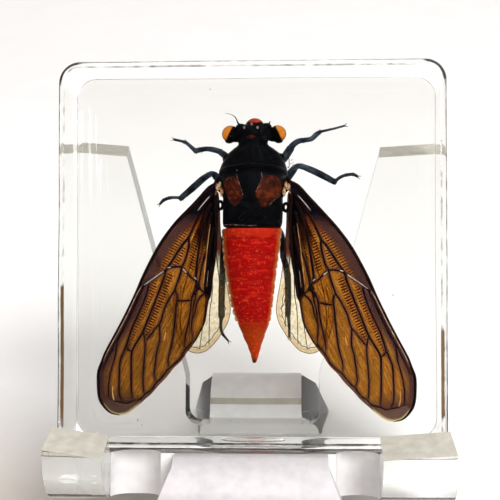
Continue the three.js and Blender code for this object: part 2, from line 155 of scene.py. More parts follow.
def square_ring(half, corner, steps=10, spacing=0.9):
    """Points round a square with round corners, anticlockwise."""
    ring = []
    for quarter, (su, sv) in enumerate(((1, 1), (-1, 1), (-1, -1), (1, -1))):
        for step in range(steps + 1):
            angle = math.pi / 2 * (quarter + step / steps)
            middle = half - corner
            ring.append((su * middle + corner * math.cos(angle), sv * middle + corner * math.sin(angle)))
    points = []
    for i, (u, v) in enumerate(ring):
        next_u, next_v = ring[(i + 1) % len(ring)]
        cuts = max(1, round(math.hypot(next_u - u, next_v - v) / spacing))
        points += [(u + (next_u - u) * k / cuts, v + (next_v - v) * k / cuts) for k in range(cuts)]
    return points


def joined_rings(rings, closed_ends=True):
    """Points and faces of a skin over rings that have the same number of points."""
    count = len(rings[0])
    points = [point for ring in rings for point in ring]
    faces = []
    for r in range(len(rings) - 1):
        for i in range(count):
            j = (i + 1) % count
            faces.append((r * count + i, r * count + j, (r + 1) * count + j, (r + 1) * count + i))
    if closed_ends:
        faces.append(tuple(reversed(range(count))))
        faces.append(tuple((len(rings) - 1) * count + i for i in range(count)))
    return points, faces


def collected(*shapes):
    """Several shapes' points and faces as one list of each."""
    points, faces = [], []
    for shape_points, shape_faces in shapes:
        start = len(points)
        points += shape_points
        faces += [tuple(start + i for i in face) for face in shape_faces]
    return points, faces


def flipped(faces):
    """The same faces, turned inside out."""
    return [tuple(reversed(face)) for face in faces]


def ball(middle, radii, rows=10, columns=None, inside_out=False):
    """A round or oval closed shape."""
    columns = columns or 2 * rows
    rings = []
    for row in range(1, rows):
        angle = math.pi * row / rows
        rings.append([
            (
                middle[0] + radii[0] * math.sin(angle) * math.cos(2 * math.pi * c / columns),
                middle[1] + radii[1] * math.sin(angle) * math.sin(2 * math.pi * c / columns),
                middle[2] - radii[2] * math.cos(angle),
            )
            for c in range(columns)
        ])
    points, faces = joined_rings(rings, closed_ends=False)
    first, last = len(points), len(points) + 1
    points += [(middle[0], middle[1], middle[2] - radii[2]), (middle[0], middle[1], middle[2] + radii[2])]
    top = (rows - 2) * columns
    for c in range(columns):
        faces.append((first, (c + 1) % columns, c))
        faces.append((last, top + c, top + (c + 1) % columns))
    return points, flipped(faces) if inside_out else faces


def edge_rounding(radius, depth, steps=8):
    """Stations (inset, w, turn in degrees) round an edge, from a face's flat to the side."""
    turns = [90 * k / steps for k in range(steps + 1)]
    rises = [(math.sin(math.radians(turn)), math.cos(math.radians(turn))) for turn in turns]
    return [(radius * (1 - s), depth - radius * (1 - c), turn) for (s, c), turn in zip(rises, turns)]


EDGE_PAINTED_SHADE = {
    # side: how dark the painted shade of its outer line is, and of its inner line
    "left": (0.9, 0.34), "right": (0.66, 0.42), "top": (0.55, 0.5), "below": (1.15, 0.72),
}
BROWN_SPANS = {"left": (-17, -3.5), "right": (-16.8, -7.2)}  # between these heights the inner line is amber-brown

front = [(1.3, BLOCK_HALF_DEPTH, -1), (0.8, BLOCK_HALF_DEPTH, -1)]
front += edge_rounding(BLOCK_EDGE, BLOCK_HALF_DEPTH)
sides = [(0, w, -1) for w in (6.9, 5, 2.5, 0, -2.5, -5, -7.1)]
back = [(inset, -w, -1) for inset, w, _ in edge_rounding(BACK_EDGE, BLOCK_HALF_DEPTH, 4)]
back = [(1.1, -BLOCK_HALF_DEPTH, -1), (0.75, -BLOCK_HALF_DEPTH, -1), *back]
profile = [*back, *reversed(sides), *reversed(front)]
block_rings, painted_edge_shade, edge_brown = [], [], []
# Painted shade: how dark the line along the edge is at each point, darkest round the corners.
for inset, w, turn in profile:
    ring = []
    for u, v in square_ring(BLOCK_HALF - inset, max(BLOCK_CORNER - inset, 0.3)):
        pull = SIDE_WANDER * (0.5 + 0.5 * noise.noise(Vector((u / 9, v / 9, w / 7))))
        ring.append((u * (1 - pull / BLOCK_HALF), v * (1 - pull / BLOCK_HALF), w))
        side = ("left" if u < 0 else "right") if abs(u) > abs(v) else ("top" if v > 0 else "below")
        outer, inner = EDGE_PAINTED_SHADE[side]
        low, high = BROWN_SPANS.get(side, (0, 0))
        in_corner = min(1.0, max(0.0, (min(abs(u), v) - 17.2) / 0.8))
        edge_shade_amount = max(outer, in_corner) * min(1.0, max(0.0, (turn - 42 + 22 * in_corner) / 10))
        in_brown_span = 0 <= turn < 24 and low < v < high
        painted_edge_shade.append(max(edge_shade_amount, inner if 0 <= turn < 12 else 0.0, 0.9 if in_brown_span else 0.0))
        edge_brown.append(float(in_brown_span))
    block_rings.append(ring)

BUBBLES = [
    # u, v, w, radius
    (-11.9, -17.2, 4.2, 0.11), (-11.6, -17.8, 3.0, 0.07), (14.6, -4.2, 3.5, 0.07), (16.2, -6.6, 2.1, 0.05),
    (-17.6, 8.3, -2.4, 0.05), (9.8, -12.9, -3.1, 0.06), (3.6, 16.8, -4.5, 0.05), (-14.4, 1.3, 4.4, 0.05),
    (13.1, 12.2, -1.3, 0.05), (-4.5, 17.6, 1.9, 0.06), (6.4, -16.4, 4.9, 0.07), (-2.6, -17.9, -4.4, 0.06),
    (3.75, 9.35, 0.6, 0.1), (4.0, 9.75, 0.6, 0.08), (4.25, 9.55, 0.5, 0.07), (4.1, 10.15, 0.5, 0.09),
]
# Flat bubbles: two slivers of air between the right legs, and the shallow lens left by the first pour's meniscus.
FLAT_BUBBLES = [
    # middle, half widths
    ((3.85, 9.9, 0.7), (0.07, 0.55, 0.2)),
    ((4.25, 9.9, 0.6), (0.05, 0.4, 0.15)),
    ((0.1, -19.35, 2.0), (3.4, 0.32, 0.5)),
]
cast_resin, surface, where, edge_shade_amount, brown_share = blank_material("cast_resin_buffed", "painted_edge_shade", "edge_brown")
# Polyester resin refracts like heavy glass. Buffing leaves it without visible scratches, but not dead flat: waves
# about 12 mm long bend what is seen through it.
waves = add_node(cast_resin, "TexNoise", {"Vector": where, "Scale": 0.085, "Detail": 1.0}).outputs["Fac"]
uneven = add_node(cast_resin, "Bump", {"Height": waves, "Strength": 0.35, "Distance": 0.0002}).outputs["Normal"]
clear = add_node(
    cast_resin,
    "BsdfPrincipled",
    {"Base Color": (1, 1, 1, 1), "Normal": uneven, "Roughness": 0.0, "IOR": 1.55, "Transmission Weight": 1.0},
).outputs["BSDF"]
# The front bevel is only sanded. Thin broken dark grey lines along it are painted shade, standing for the dark
# reflections inside the rounded edges, and are amber-brown in places.
breaks = add_node(cast_resin, "TexNoise", {"Vector": where, "Scale": 0.9, "Detail": 5.0}).outputs["Fac"]
painted_line_share = add_node(cast_resin, "Math", {0: breaks, 1: 0.9, 2: edge_shade_amount}, operation="MULTIPLY_ADD").outputs["Value"]
painted_line_share = add_node(cast_resin, "MapRange", {"Value": painted_line_share, "From Min": 0.75, "From Max": 1.25}).outputs["Result"]
painted_edge_tone = layered(cast_resin, "24221e", ("5e4420", brown_share, 0, 1, 1))
painted_edge_film = add_node(cast_resin, "BsdfPrincipled", {"Base Color": painted_edge_tone, "Roughness": 0.6}).outputs["BSDF"]
add_node(cast_resin, "MixShader", {0: painted_line_share, 1: clear, 2: painted_edge_film}, {"Shader": surface})
add_node(
    cast_resin, "VolumeAbsorption", {"Color": "f4f7ec", "Density": 14.0}, {"Volume": surface.node.inputs["Volume"]}
)

block_shape = collected(
    joined_rings(block_rings),
    *[ball((u, v, w), (r, r, r), inside_out=True) for u, v, w, r in BUBBLES],
    *[ball(middle, radii, columns=24, inside_out=True) for middle, radii in FLAT_BUBBLES],
)
resin_block = object_of("resin_block", *block_shape, cast_resin)
no_painted_shade = [0.0] * (len(block_shape[0]) - len(painted_edge_shade))
set_mask(resin_block, "painted_edge_shade", painted_edge_shade + no_painted_shade)
set_mask(resin_block, "edge_brown", edge_brown + no_painted_shade)
place(resin_block, ["resin_block_front", "resin_block_back"])

# ---- Display stand
# One sheet of clear cast acrylic, 4.5 mm thick, sawn out flat, and bent over a hot wire. Its faces keep the
# sheet's polish; its sawn ends are matt grey with fine marks of the blade.
SHEET = 4.5
FACE = 8.3  # inner face of the lips and of the back
OUTER = FACE + SHEET
SHELF_TOP = -20.3
SHELF_BOTTOM = SHELF_TOP - SHEET
BEND_INSIDE = 0.8
BEND_OUTSIDE = BEND_INSIDE + SHEET
STAND_HALF_WIDTH = 20.28
TABLE = -27.5  # below the block's middle
LEG_START = SHELF_BOTTOM + 6.2
LEG_TURN = 114  # degrees that the rear leg is bent back by
LEG_LENGTH = 24
LEG_HALF = 5.1


def arc(middle, radius, start, end, steps=14):
    """Points of an arc; angles in degrees."""
    angles = [math.radians(start + (end - start) * k / steps) for k in range(steps + 1)]
    return [(middle[0] + radius * math.cos(a), middle[1] + radius * math.sin(a)) for a in angles]


def prism(name, outline, axis, low, high):
    """A solid of one outline. Along u the outline is (w, v), along v it is (u, w), and along w it is (u, v)."""
    turn = {
        "u": lambda a, b, along: (along, b, a),
        "v": lambda a, b, along: (a, along, b),
        "w": lambda a, b, along: (a, b, along),
    }[axis]
    made = object_of(name, *joined_rings([[turn(a, b, along) for a, b in outline] for along in (low, high)]))
    editable = bmesh.new()
    editable.from_mesh(made.data)
    bmesh.ops.recalc_face_normals(editable, faces=editable.faces)
    editable.to_mesh(made.data)
    editable.free()
    return made


def level_box(size, middle, roll=0.0):
    """A box that stands level in the room, by its size and middle from the block's middle."""
    made = prism("cutter", [(-0.5, -0.5), (0.5, -0.5), (0.5, 0.5), (-0.5, 0.5)], "w", -0.5, 0.5)
    level = Matrix.Translation(Vector(middle) * MM) @ Matrix.Rotation(roll, 4, "Y")
    level = Matrix.Rotation(LEAN - math.pi / 2, 4, "X") @ level
    made.data.transform(level @ Matrix.Diagonal((*size, 1)))
    return made


def apply_steps(piece):
    """Makes a piece's modifiers part of its mesh."""
    bpy.context.view_layer.update()
    shape = bpy.data.meshes.new_from_object(piece.evaluated_get(bpy.context.evaluated_depsgraph_get()))
    piece.modifiers.clear()
    old, piece.data = piece.data, shape
    bpy.data.meshes.remove(old)


def cut(piece, operation, other):
    """Joins another solid to a piece, or takes it away, and deletes the other."""
    step = piece.modifiers.new("cut", "BOOLEAN")
    step.operation, step.solver, step.object = operation, "EXACT", other
    apply_steps(piece)
    bpy.data.meshes.remove(other.data)


j_section = [
    (-OUTER, 20),
    *arc((BEND_OUTSIDE - OUTER, SHELF_BOTTOM + BEND_OUTSIDE), BEND_OUTSIDE, 180, 270),
    *arc((OUTER - BEND_OUTSIDE, SHELF_BOTTOM + BEND_OUTSIDE), BEND_OUTSIDE, 270, 360),
    (OUTER, SHELF_TOP + SHEET),
    (FACE, SHELF_TOP + SHEET),
    *arc((FACE - BEND_INSIDE, SHELF_TOP + BEND_INSIDE), BEND_INSIDE, 0, -90, 8),
    *arc((BEND_INSIDE - FACE, SHELF_TOP + BEND_INSIDE), BEND_INSIDE, -90, -180, 8),
    (-FACE, 20),
]
stand = prism("display_stand_acrylic", j_section, "u", -STAND_HALF_WIDTH, STAND_HALF_WIDTH)
VEE_TOP, VEE_FOOT, VEE_FOOT_V = 14.1, 7.45, -13.2
STAND_OFF = -0.35  # the block stands a little to the right in it
vee_slope = (VEE_TOP - VEE_FOOT) / (11.3 - VEE_FOOT_V)
DRILL = 1.5  # radius of the drill that rounds the corners beside the rear leg
corner_u, corner_v = VEE_FOOT - DRILL, LEG_START + DRILL
vee = [*arc((-corner_u, corner_v), DRILL, 180, 270, 6), *arc((corner_u, corner_v), DRILL, 270, 360, 6)]
vee.append((VEE_FOOT, VEE_FOOT_V))
vee += [(side * (VEE_TOP + 28.7 * vee_slope), 40) for side in (1, -1)] + [(-VEE_FOOT, VEE_FOOT_V)]
vee = [(u + STAND_OFF, v) for u, v in vee]
cut(stand, "DIFFERENCE", prism("cutter", vee, "w", -OUTER - 1, -FACE + BEND_INSIDE))
NOTCH = 2.2
front_bend = OUTER - BEND_OUTSIDE
LIP_GAP, FOOT_HALF = 13.7, 8.9
front_gap = [
    (LIP_GAP, OUTER + 1),
    *arc((LIP_GAP - NOTCH, front_bend), NOTCH, 0, -90),
    *arc((FOOT_HALF + NOTCH, front_bend), NOTCH, -90, -180),
    *arc((-FOOT_HALF - NOTCH, front_bend), NOTCH, 0, -90),
    *arc((-LIP_GAP + NOTCH, front_bend), NOTCH, -90, -180),
    (-LIP_GAP, OUTER + 1),
]
front_gap = [(u + STAND_OFF if abs(u) < 12 else u + 2 * STAND_OFF, w) for u, w in front_gap]
cut(stand, "DIFFERENCE", prism("cutter", front_gap, "v", SHELF_BOTTOM - 1, 0))
END_CUTS = [
    # side, y and z of the cut's middle from the block's middle, and its slope: two back arms, then two front lips
    (-1, 16, 7.7, 0.075), (1, 16, 7.45, 0.05), (-1, -19, -14.05, 0.14), (1, -19, -14.0, 0.075),
]
CUT_AWAY = 20  # how much is taken off above each cut
for side, end_y, end_z, slope in END_CUTS:
    box_middle = (side * 15.3, end_y, end_z + CUT_AWAY / 2)
    cut(stand, "DIFFERENCE", level_box((18, 16, CUT_AWAY), box_middle, -side * slope))
# the right lip is sawn a little shorter
off_cut = [(19.45, -10), (22, -10), (22, -20.3), (20.2, -20.3)]
cut(stand, "DIFFERENCE", prism("cutter", off_cut, "w", FACE - 0.2, OUTER + 1))

leg_middle = (-FACE - BEND_OUTSIDE, LEG_START)
leg_angle = math.radians(LEG_TURN)
along_w, along_v = -math.sin(leg_angle) * LEG_LENGTH, math.cos(leg_angle) * LEG_LENGTH
bend_out = arc(leg_middle, BEND_OUTSIDE, 0, LEG_TURN)
bend_in = arc(leg_middle, BEND_INSIDE, LEG_TURN, 0, 10)
leg_section = [
    (-FACE - 0.5, LEG_START - 2),
    (-FACE - 0.5, LEG_START),
    *bend_out,
    (bend_out[-1][0] + along_w, bend_out[-1][1] + along_v),
    (bend_in[0][0] + along_w, bend_in[0][1] + along_v),
    *bend_in,
    (-OUTER + 0.5, LEG_START),
    (-OUTER + 0.5, LEG_START - 2),
]
leg_bend_w = -OUTER - BEND_OUTSIDE / 2
leg_plan = [
    (-LEG_HALF, 0), (-LEG_HALF, leg_bend_w), (-6.8, leg_bend_w - BEND_OUTSIDE / 2), (-10.4, -OUTER - LEG_LENGTH),
]
leg_plan += [(-u, w) for u, w in reversed(leg_plan)]
rear_leg = prism("cutter", leg_section, "u", -STAND_HALF_WIDTH, STAND_HALF_WIDTH)
cut(rear_leg, "INTERSECT", prism("cutter", leg_plan, "v", -80, 0))
cut(stand, "UNION", rear_leg)

foot_bend_v = SHELF_TOP - BEND_OUTSIDE
foot_section = [
    (front_bend - 2, SHELF_TOP - 0.5),
    (front_bend, SHELF_TOP - 0.5),
    *arc((front_bend, foot_bend_v), BEND_OUTSIDE, 90, 0),
    (OUTER, foot_bend_v - 2 * BEND_OUTSIDE),
    (FACE, foot_bend_v - 2 * BEND_OUTSIDE),
    *arc((front_bend, foot_bend_v), BEND_INSIDE, 0, 90, 8),
    (front_bend, SHELF_BOTTOM + 0.5),
    (front_bend - 2, SHELF_BOTTOM + 0.5),
]
foot_outline = [
    (-7.8, SHELF_TOP + 1),
    (-7.8, SHELF_TOP - 1),
    (-9.2, SHELF_BOTTOM),
    (-10.6, SHELF_BOTTOM - SHEET),
    (-10.6, SHELF_BOTTOM - 3 * SHEET),
]
foot_outline += [(-u, v) for u, v in reversed(foot_outline)]
front_foot = prism("cutter", foot_section, "u", -STAND_HALF_WIDTH, STAND_HALF_WIDTH)
cut(front_foot, "INTERSECT", prism("cutter", foot_outline, "w", 0, OUTER + 1))
cut(stand, "UNION", front_foot)
cut(stand, "DIFFERENCE", level_box((60, 120, 40), (0, 0, TABLE - 20)))

eased = stand.modifiers.new("eased_edges", "BEVEL")  # the edges are scraped, about 0.2 mm
eased.width, eased.segments, eased.limit_method, eased.angle_limit = 0.2 * MM, 2, "ANGLE", math.radians(40)
eased.harden_normals = False

clear_acrylic, surface, where = blank_material("cast_acrylic_polished")
# Acrylic sheet keeps the gloss of the glass plates that it was cast between, and shows a grey-green edge in depth.
waves = add_node(clear_acrylic, "TexNoise", {"Vector": where, "Scale": 0.16, "Detail": 1.0}).outputs["Fac"]
uneven = add_node(clear_acrylic, "Bump", {"Height": waves, "Strength": 0.3, "Distance": 0.0001}).outputs["Normal"]
add_node(
    clear_acrylic,
    "BsdfPrincipled",
    {"Base Color": (1, 1, 1, 1), "Normal": uneven, "Roughness": 0.01, "IOR": 1.49, "Transmission Weight": 1.0},
    {"BSDF": surface},
)
add_node(
    clear_acrylic, "VolumeAbsorption", {"Color": "eef1ea", "Density": 20.0}, {"Volume": surface.node.inputs["Volume"]}
)

worked_finishes = []
for name, low_tone, high_tone, passed, roughness in (
    # A saw leaves the ends matt and grey, with fine marks about 0.3 mm apart.
    ("acrylic_saw_cut", "b2aea2", "c9c5b8", 0.15, 0.6),
    # The relief cuts beside the front foot are filed smooth, and the sharp rear bend is stretched: both show pale
    # and frosted.
    ("acrylic_filed_edge", "f6f2f4", "ffffff", 0.3, 0.6),
    # The hot wire leaves the outside of the front bend a little hazy.
    ("acrylic_hot_bend", "ddd7db", "ebe7e9", 0.4, 0.35),
):
    edge_finish, surface, where = blank_material(name)
    marks = add_node(edge_finish, "TexNoise", {"Vector": where, "Scale": 0.9, "Detail": 3.0}).outputs["Fac"]
    tone = layered(edge_finish, low_tone, (high_tone, marks, 0.3, 0.7, 1))
    blade = add_node(edge_finish, "Bump", {"Height": marks, "Strength": 0.5, "Distance": 0.00005}).outputs["Normal"]
    add_node(
        edge_finish,
        "BsdfPrincipled",
        {"Base Color": tone, "Normal": blade, "Roughness": roughness, "IOR": 1.49, "Transmission Weight": passed},
        {"BSDF": surface},
    )
    worked_finishes.append(edge_finish)

stand.data.materials.clear()
for finish in (clear_acrylic, *worked_finishes):
    stand.data.materials.append(finish)
level_up = Matrix.Rotation(LEAN - math.pi / 2, 4, "X") @ Vector((0, 0, 1))
for face in stand.data.polygons:
    u, v, w = face.center / MM
    sawn = face.normal.dot(level_up) > 0.97 and v > -20 and abs(u) > 12
    filed = abs(face.normal.y) < 0.1 and -25 < v < -20.3 and 4.5 < w < 8.2 and 7 < abs(u) < 15
    rear_bend = face.normal.y > 0.15 and -16 < w < -8.25 and -19 < v < -12 and abs(u) < 6
    scraped = rear_bend and 0.43 < face.normal.y < 0.53  # a grey line along the rear bend, left by the hot wire
    front_bend_face = w > 7 and -27 < v < -20.2 and abs(u) < 9.5
    face.material_index = 1 if sawn or scraped else 2 if filed or rear_bend else 3 if front_bend_face else 0
stand.data.shade_smooth()
stand.data.set_sharp_from_angle(angle=math.radians(28))
place(stand, ["display_stand"])

# ---- Forewings
# Two long amber membranes, a few hundredths of a millimetre thick, stretched between dark tubular veins. They are
# spread and lie flat at half depth, with a smoky front edge and a brown border behind the outermost vein.
WING_SHEET = 0.08
WING_GRID = 0.13
FOREWING_OUTLINE = [
    (3.9, 7.8), (4.8, 7.3), (5.9, 6.1), (7.3, 4.6), (8.95, 2.75), (10.4, 0.75), (11.95, -2.1), (13, -4.45),
    (13.8, -6.1), (14.6, -7.7), (15.4, -9.2), (16.2, -10.7), (16.6, -11.7), (17, -12.8), (17.05, -14), (16.95, -15.4),
    (16.6, -16.3), (15.8, -17.2), (14.8, -17.5), (13.9, -17.3), (13, -16.7), (12.2, -16), (11.3, -15.2),
    (10.5, -14.3), (9.7, -13.5), (8.9, -12.5), (8.1, -11.7), (7.3, -10.5), (6.4, -9.2), (5.7, -7.9), (5.3, -6.9),
    (5, -5), (4.7, -4.2), (4.5, -2.5), (4.2, -0.6), (4, 1.7), (3.9, 3.6), (4, 5.2), (3.98, 6.6),
]
FOREWING_VEINS = {
    # name: (width at its root, width at its end, points from root to end)
    "front_edge": (0.4, 0.3, FOREWING_OUTLINE[:19]),
    "inner_edge": (0.4, 0.14, FOREWING_OUTLINE[:27:-1] + [(6.4, -9.2), (7.3, -10.5)]),
    "radius": (0.3, 0.2, [
        (4.5, 6.6), (5.2, 5.6), (6, 4.2), (6.6, 3), (7.2, 1.7), (7.7, 1.1), (8.5, -0.1), (9.2, -1.2), (9.7, -1.9),
        (9.9, -2.7), (10.4, -4), (10.9, -5.3), (11.4, -6.5), (12.2, -8.5), (12.6, -9.2), (13.4, -10.6),
        (13.5, -12), (13.5, -14.4), (13.4, -16),
    ]),
    "radial_sector": (0.22, 0.18, [
        (11.6, -3.5), (11.9, -4.7), (12.6, -6.4), (13.4, -8.1), (14, -9.9), (14.4, -10.9), (14.7, -11.8),
        (14.8, -13.6), (14.8, -15.2), (14.5, -16),
    ]),
    "subcosta": (0.2, 0.16, [
        (12.1, -3.6), (12.7, -4.9), (13.6, -6.8), (14.4, -8.4), (15.0, -9.5), (15.2, -11), (15.6, -12.4),
        (15.85, -13.6), (15.95, -14.8), (15.9, -15.7),
    ]),
    "front_groove": (0.11, 0.08, [
        (12.6, -4.35), (13.45, -6.2), (14.25, -7.85), (15.05, -9.4), (15.85, -10.9), (16.25, -12),
    ]),
    "front_branch": (0.16, 0.12, [(15.1, -9.5), (15.7, -10.7), (16.2, -11.7), (16.55, -12.6)]),
    "nodal_line": (0.22, 0.18, [
        (12.4, -3.8), (11, -2.8), (9.7, -1.9), (8.9, -1.6), (8, -1.6), (7.4, -2.1), (6.9, -2.6), (6.3, -3),
        (6.1, -3.5), (5.4, -4), (4.8, -4),
    ]),
    "media": (0.24, 0.17, [
        (7.2, 1.7), (7.2, 0.9), (7.4, -0.1), (7.7, -1), (8, -1.6), (8.1, -2.1), (8.4, -3.1), (8.7, -4),
        (8.5, -4.6), (8.5, -5.2), (8.6, -5.7), (8.7, -7.1), (8.9, -8.8), (9.1, -10), (9.4, -11.1), (9.5, -11.7),
        (9.4, -12.4),
    ]),
    "media_branch": (0.2, 0.16, [
        (8.7, -4), (9.1, -4.6), (9.5, -5.3), (9.9, -6.1), (10.2, -7.2), (10.4, -7.7), (10.4, -8.2),
        (10.4, -9.5), (10.7, -10.7), (10.9, -12.2), (11, -13.2), (10.8, -13.9),
    ]),
    "cross_media": (0.18, 0.18, [(10.4, -7.7), (10.8, -8.1), (11.3, -8.8), (11.9, -9.5)]),
    "cross_radius": (0.18, 0.15, [
        (12.2, -8.5), (12, -9.5), (12, -10.4), (12.1, -11.7), (12.2, -13.2), (12.2, -14.6), (12.1, -15.2),
    ]),
    "cross_sector": (0.15, 0.15, [(13.5, -10.7), (13.9, -10.4), (14, -9.9)]),
    "cross_cubitus": (0.17, 0.17, [(8.5, -5.2), (7.9, -5.2), (7.4, -5.1), (7, -5)]),
    "cubitus": (0.36, 0.16, [
        (4.6, 5.6), (5, 4.8), (5.3, 4), (5.6, 2.6), (5.9, 1.3), (6.1, 0.1), (6.3, -1.3), (6.4, -2.5), (6.1, -3.5),
        (6.6, -4.1), (6.9, -4.9), (7, -6.1), (7.3, -7.7), (7.6, -9), (7.7, -9.9), (7.6, -10.4),
    ]),
    "second_cubitus": (0.32, 0.15, [
        (4.5, 4.6), (4.8, 3.3), (4.9, 0.9), (5.4, -0.3), (5.8, -1.9), (6.1, -3.5), (6.3, -4), (6.5, -5),
        (6.7, -5.7), (6.8, -6.6), (6.95, -7.6),
    ]),
    "anal": (0.28, 0.14, [
        (4.3, 3.0), (4.7, 0.7), (5, -1), (5.3, -2.6), (5.4, -4), (5.9, -4.6), (6.3, -5.3), (6.5, -6.3),
        (6.8, -7.1), (6.9, -7.9), (6.8, -8.9), (6.8, -9.4),
    ]),
    "outer_line": (0.18, 0.13, [
        (6.8, -9.4), (7.6, -10.4), (8.2, -11.4), (8.9, -12.1), (9.4, -12.5), (9.9, -13.1), (10.4, -13.7),
        (10.8, -14), (11.1, -14.5), (11.6, -15), (12, -15.2), (12.3, -15.6), (12.8, -15.9), (13.4, -16),
        (13.9, -16.25), (14.5, -16.15), (15.3, -16), (15.9, -15.7),
    ]),
}
FRONT_LINE = FOREWING_OUTLINE[:17]
OUTER_LINE = FOREWING_VEINS["outer_line"][2]
CROSSED_CELLS = [
    # cells with cross ripples: the middle line of each, how far they reach from it, and how strong they are
    ([(11.1, -3.7), (12.2, -6.0), (13.2, -8.2), (14.0, -10.2)], 0.6, 1.0),
    ([(9.4, -2.6), (10.1, -4.4), (11.0, -6.4), (11.9, -8.6)], 0.7, 0.9),
    ([(7.3, 2.9), (8.6, 1.0), (10.0, -1.2), (11.2, -3.0)], 0.75, 0.8),
    ([(6.0, 2.8), (6.6, 0.8), (6.9, -1.4)], 0.6, 0.8),
    ([(5.2, 2.6), (5.5, 0.4), (5.8, -1.6)], 0.4, 0.8),
    ([(7.9, 0.4), (8.4, -0.8), (8.9, -1.5)], 0.5, 0.9),
    ([(9.6, -6.2), (9.9, -8.4), (10.2, -11.2)], 0.5, 0.3),
    ([(14.0, -5.4), (14.9, -7.6), (15.6, -9.6)], 0.5, 0.5),
]
PAINTED_HIGHLIGHT_LINES = {
    # painted highlights, thin pale lines along veins and creases: width, points
    "white": [
        (0.08, [(4.75, 6.36), (5.5, 5.5), (6.13, 4.71)]),
        (0.09, [(9.95, -2.05), (10.9, -2.7), (12.1, -3.55)]),
        (0.1, [(9.15, -1.62), (9.55, -1.7)]),
        (0.12, [(7.45, -2.1), (7.85, -1.75)]),
        (0.1, [(6.3, -2.75), (6.55, -2.5)]),
    ],
    "pink": [
        (0.08, [(12.4, -3.7), (12.88, -4.5), (13.68, -6.16), (14.48, -7.76), (15.28, -9.26), (16.08, -10.76),
                (16.48, -11.75)]),
        (0.05, [(4.9, -1.6), (5.1, -3.4)]),
    ],
    "gold": [
        (0.11, [(15.45, -14.3), (15.5, -15.1), (15.35, -15.9)]),
        (0.07, [(4.66, 3.4), (4.93, 1.47), (5.2, -0.66), (5.46, -3.07)]),
        (0.05, [(9.75, -8.6), (9.9, -9.5)]),
    ],
}


def smooth_line(points, spacing=0.25, closed=False):
    """Points every so often along a smooth curve through the given ones, in the plane."""
    knots = [Vector(p).to_3d() for p in points]
    count = len(knots)
    made = []
    for i in range(count if closed else count - 1):
        before = knots[i - 1] if closed or i > 0 else knots[0] * 2 - knots[1]
        a, b = knots[i], knots[(i + 1) % count]
        after = knots[(i + 2) % count] if closed or i + 2 < count else b * 2 - a
        cuts = max(2, math.ceil((b - a).length / spacing))
        for k in range(cuts):
            t = k / cuts
            made.append(
                0.5 * (2 * a + (b - before) * t + (2 * before - 5 * a + 4 * b - after) * t * t
                       + (3 * a - before - 3 * b + after) * t * t * t)
            )
    if not closed:
        made.append(knots[-1])
    return made


def distances(points, line):
    """How far each point is from a line of points in the plane, and how far along the line it is, 0 to 1."""
    line = np.array([p[:2] for p in line])
    start, step = line[:-1], line[1:] - line[:-1]
    lengths = np.maximum((step**2).sum(1), 1e-9)
    offset = points[:, None, :2] - start[None]
    t = np.clip((offset * step).sum(2) / lengths, 0, 1)
    apart = np.sqrt(((offset - t[..., None] * step) ** 2).sum(2))
    nearest = apart.argmin(1)
    runs = np.concatenate([[0], np.cumsum(np.sqrt(lengths))])
    rows = np.arange(len(points))
    along = runs[nearest] + t[rows, nearest] * np.sqrt(lengths[nearest])
    return apart[rows, nearest], along / runs[-1]


def inside(points, outline):
    """Which points lie inside a closed outline in the plane."""
    outline = np.array([p[:2] for p in outline])
    ahead = np.roll(outline, -1, axis=0)
    u, v = points[:, 0][:, None], points[:, 1][:, None]
    crosses = (outline[:, 1] > v) != (ahead[:, 1] > v)
    rise = np.where(ahead[:, 1] == outline[:, 1], 1e-9, ahead[:, 1] - outline[:, 1])
    reach = (ahead[:, 0] - outline[:, 0]) * (v - outline[:, 1]) / rise + outline[:, 0]
    return (crosses & (u < reach)).sum(1) % 2 == 1


def ramp(values, start, end):
    """0 before start, 1 past end, and a smooth rise between them."""
    t = np.clip((values - start) / (end - start), 0, 1)
    return t * t * (3 - 2 * t)


def triangulated(outline, spacing):
    """A fine net of triangles inside a closed outline: its points in the plane, its triangles, its edge."""
    edge = [p.to_2d() for p in smooth_line(outline, spacing, closed=True)]
    low = np.min([p[:] for p in edge], axis=0)
    high = np.max([p[:] for p in edge], axis=0)
    rows = np.arange(low[1], high[1], spacing * 0.87)
    net = np.array([
        (u, v) for r, v in enumerate(rows) for u in np.arange(low[0] + (r % 2) * spacing / 2, high[0], spacing)
    ])
    net = net[inside(net, edge)]
    net = net[distances(net, [*edge, edge[0]])[0] > spacing * 0.55]
    points = edge + [Vector(p) for p in net]
    points, _, faces, *_ = geometry.delaunay_2d_cdt(points, [], [list(range(len(edge)))], 1, 1e-5)
    return np.array([p[:] for p in points]), [tuple(face) for face in faces]


def thin_solid(flat, faces, heights, thickness):
    """A closed thin sheet over a flat net, at these heights."""
    count = len(flat)
    points = [(u, v, w + thickness / 2) for (u, v), w in zip(flat, heights)]
    points += [(u, v, w - thickness / 2) for (u, v), w in zip(flat, heights)]
    upward = [face if winding(flat, face) > 0 else tuple(reversed(face)) for face in faces]
    sides = {}
    for face in upward:
        for i, a in enumerate(face):
            b = face[(i + 1) % len(face)]
            sides[a, b] = True
    rim = [(a, b) for a, b in sides if (b, a) not in sides]
    closed = upward + [tuple(count + i for i in reversed(face)) for face in upward]
    closed += [(b, a, count + a, count + b) for a, b in rim]
    return points, closed


def winding(flat, face):
    (au, av), (bu, bv), (cu, cv) = (flat[i] for i in face[:3])
    return (bu - au) * (cv - av) - (bv - av) * (cu - au)


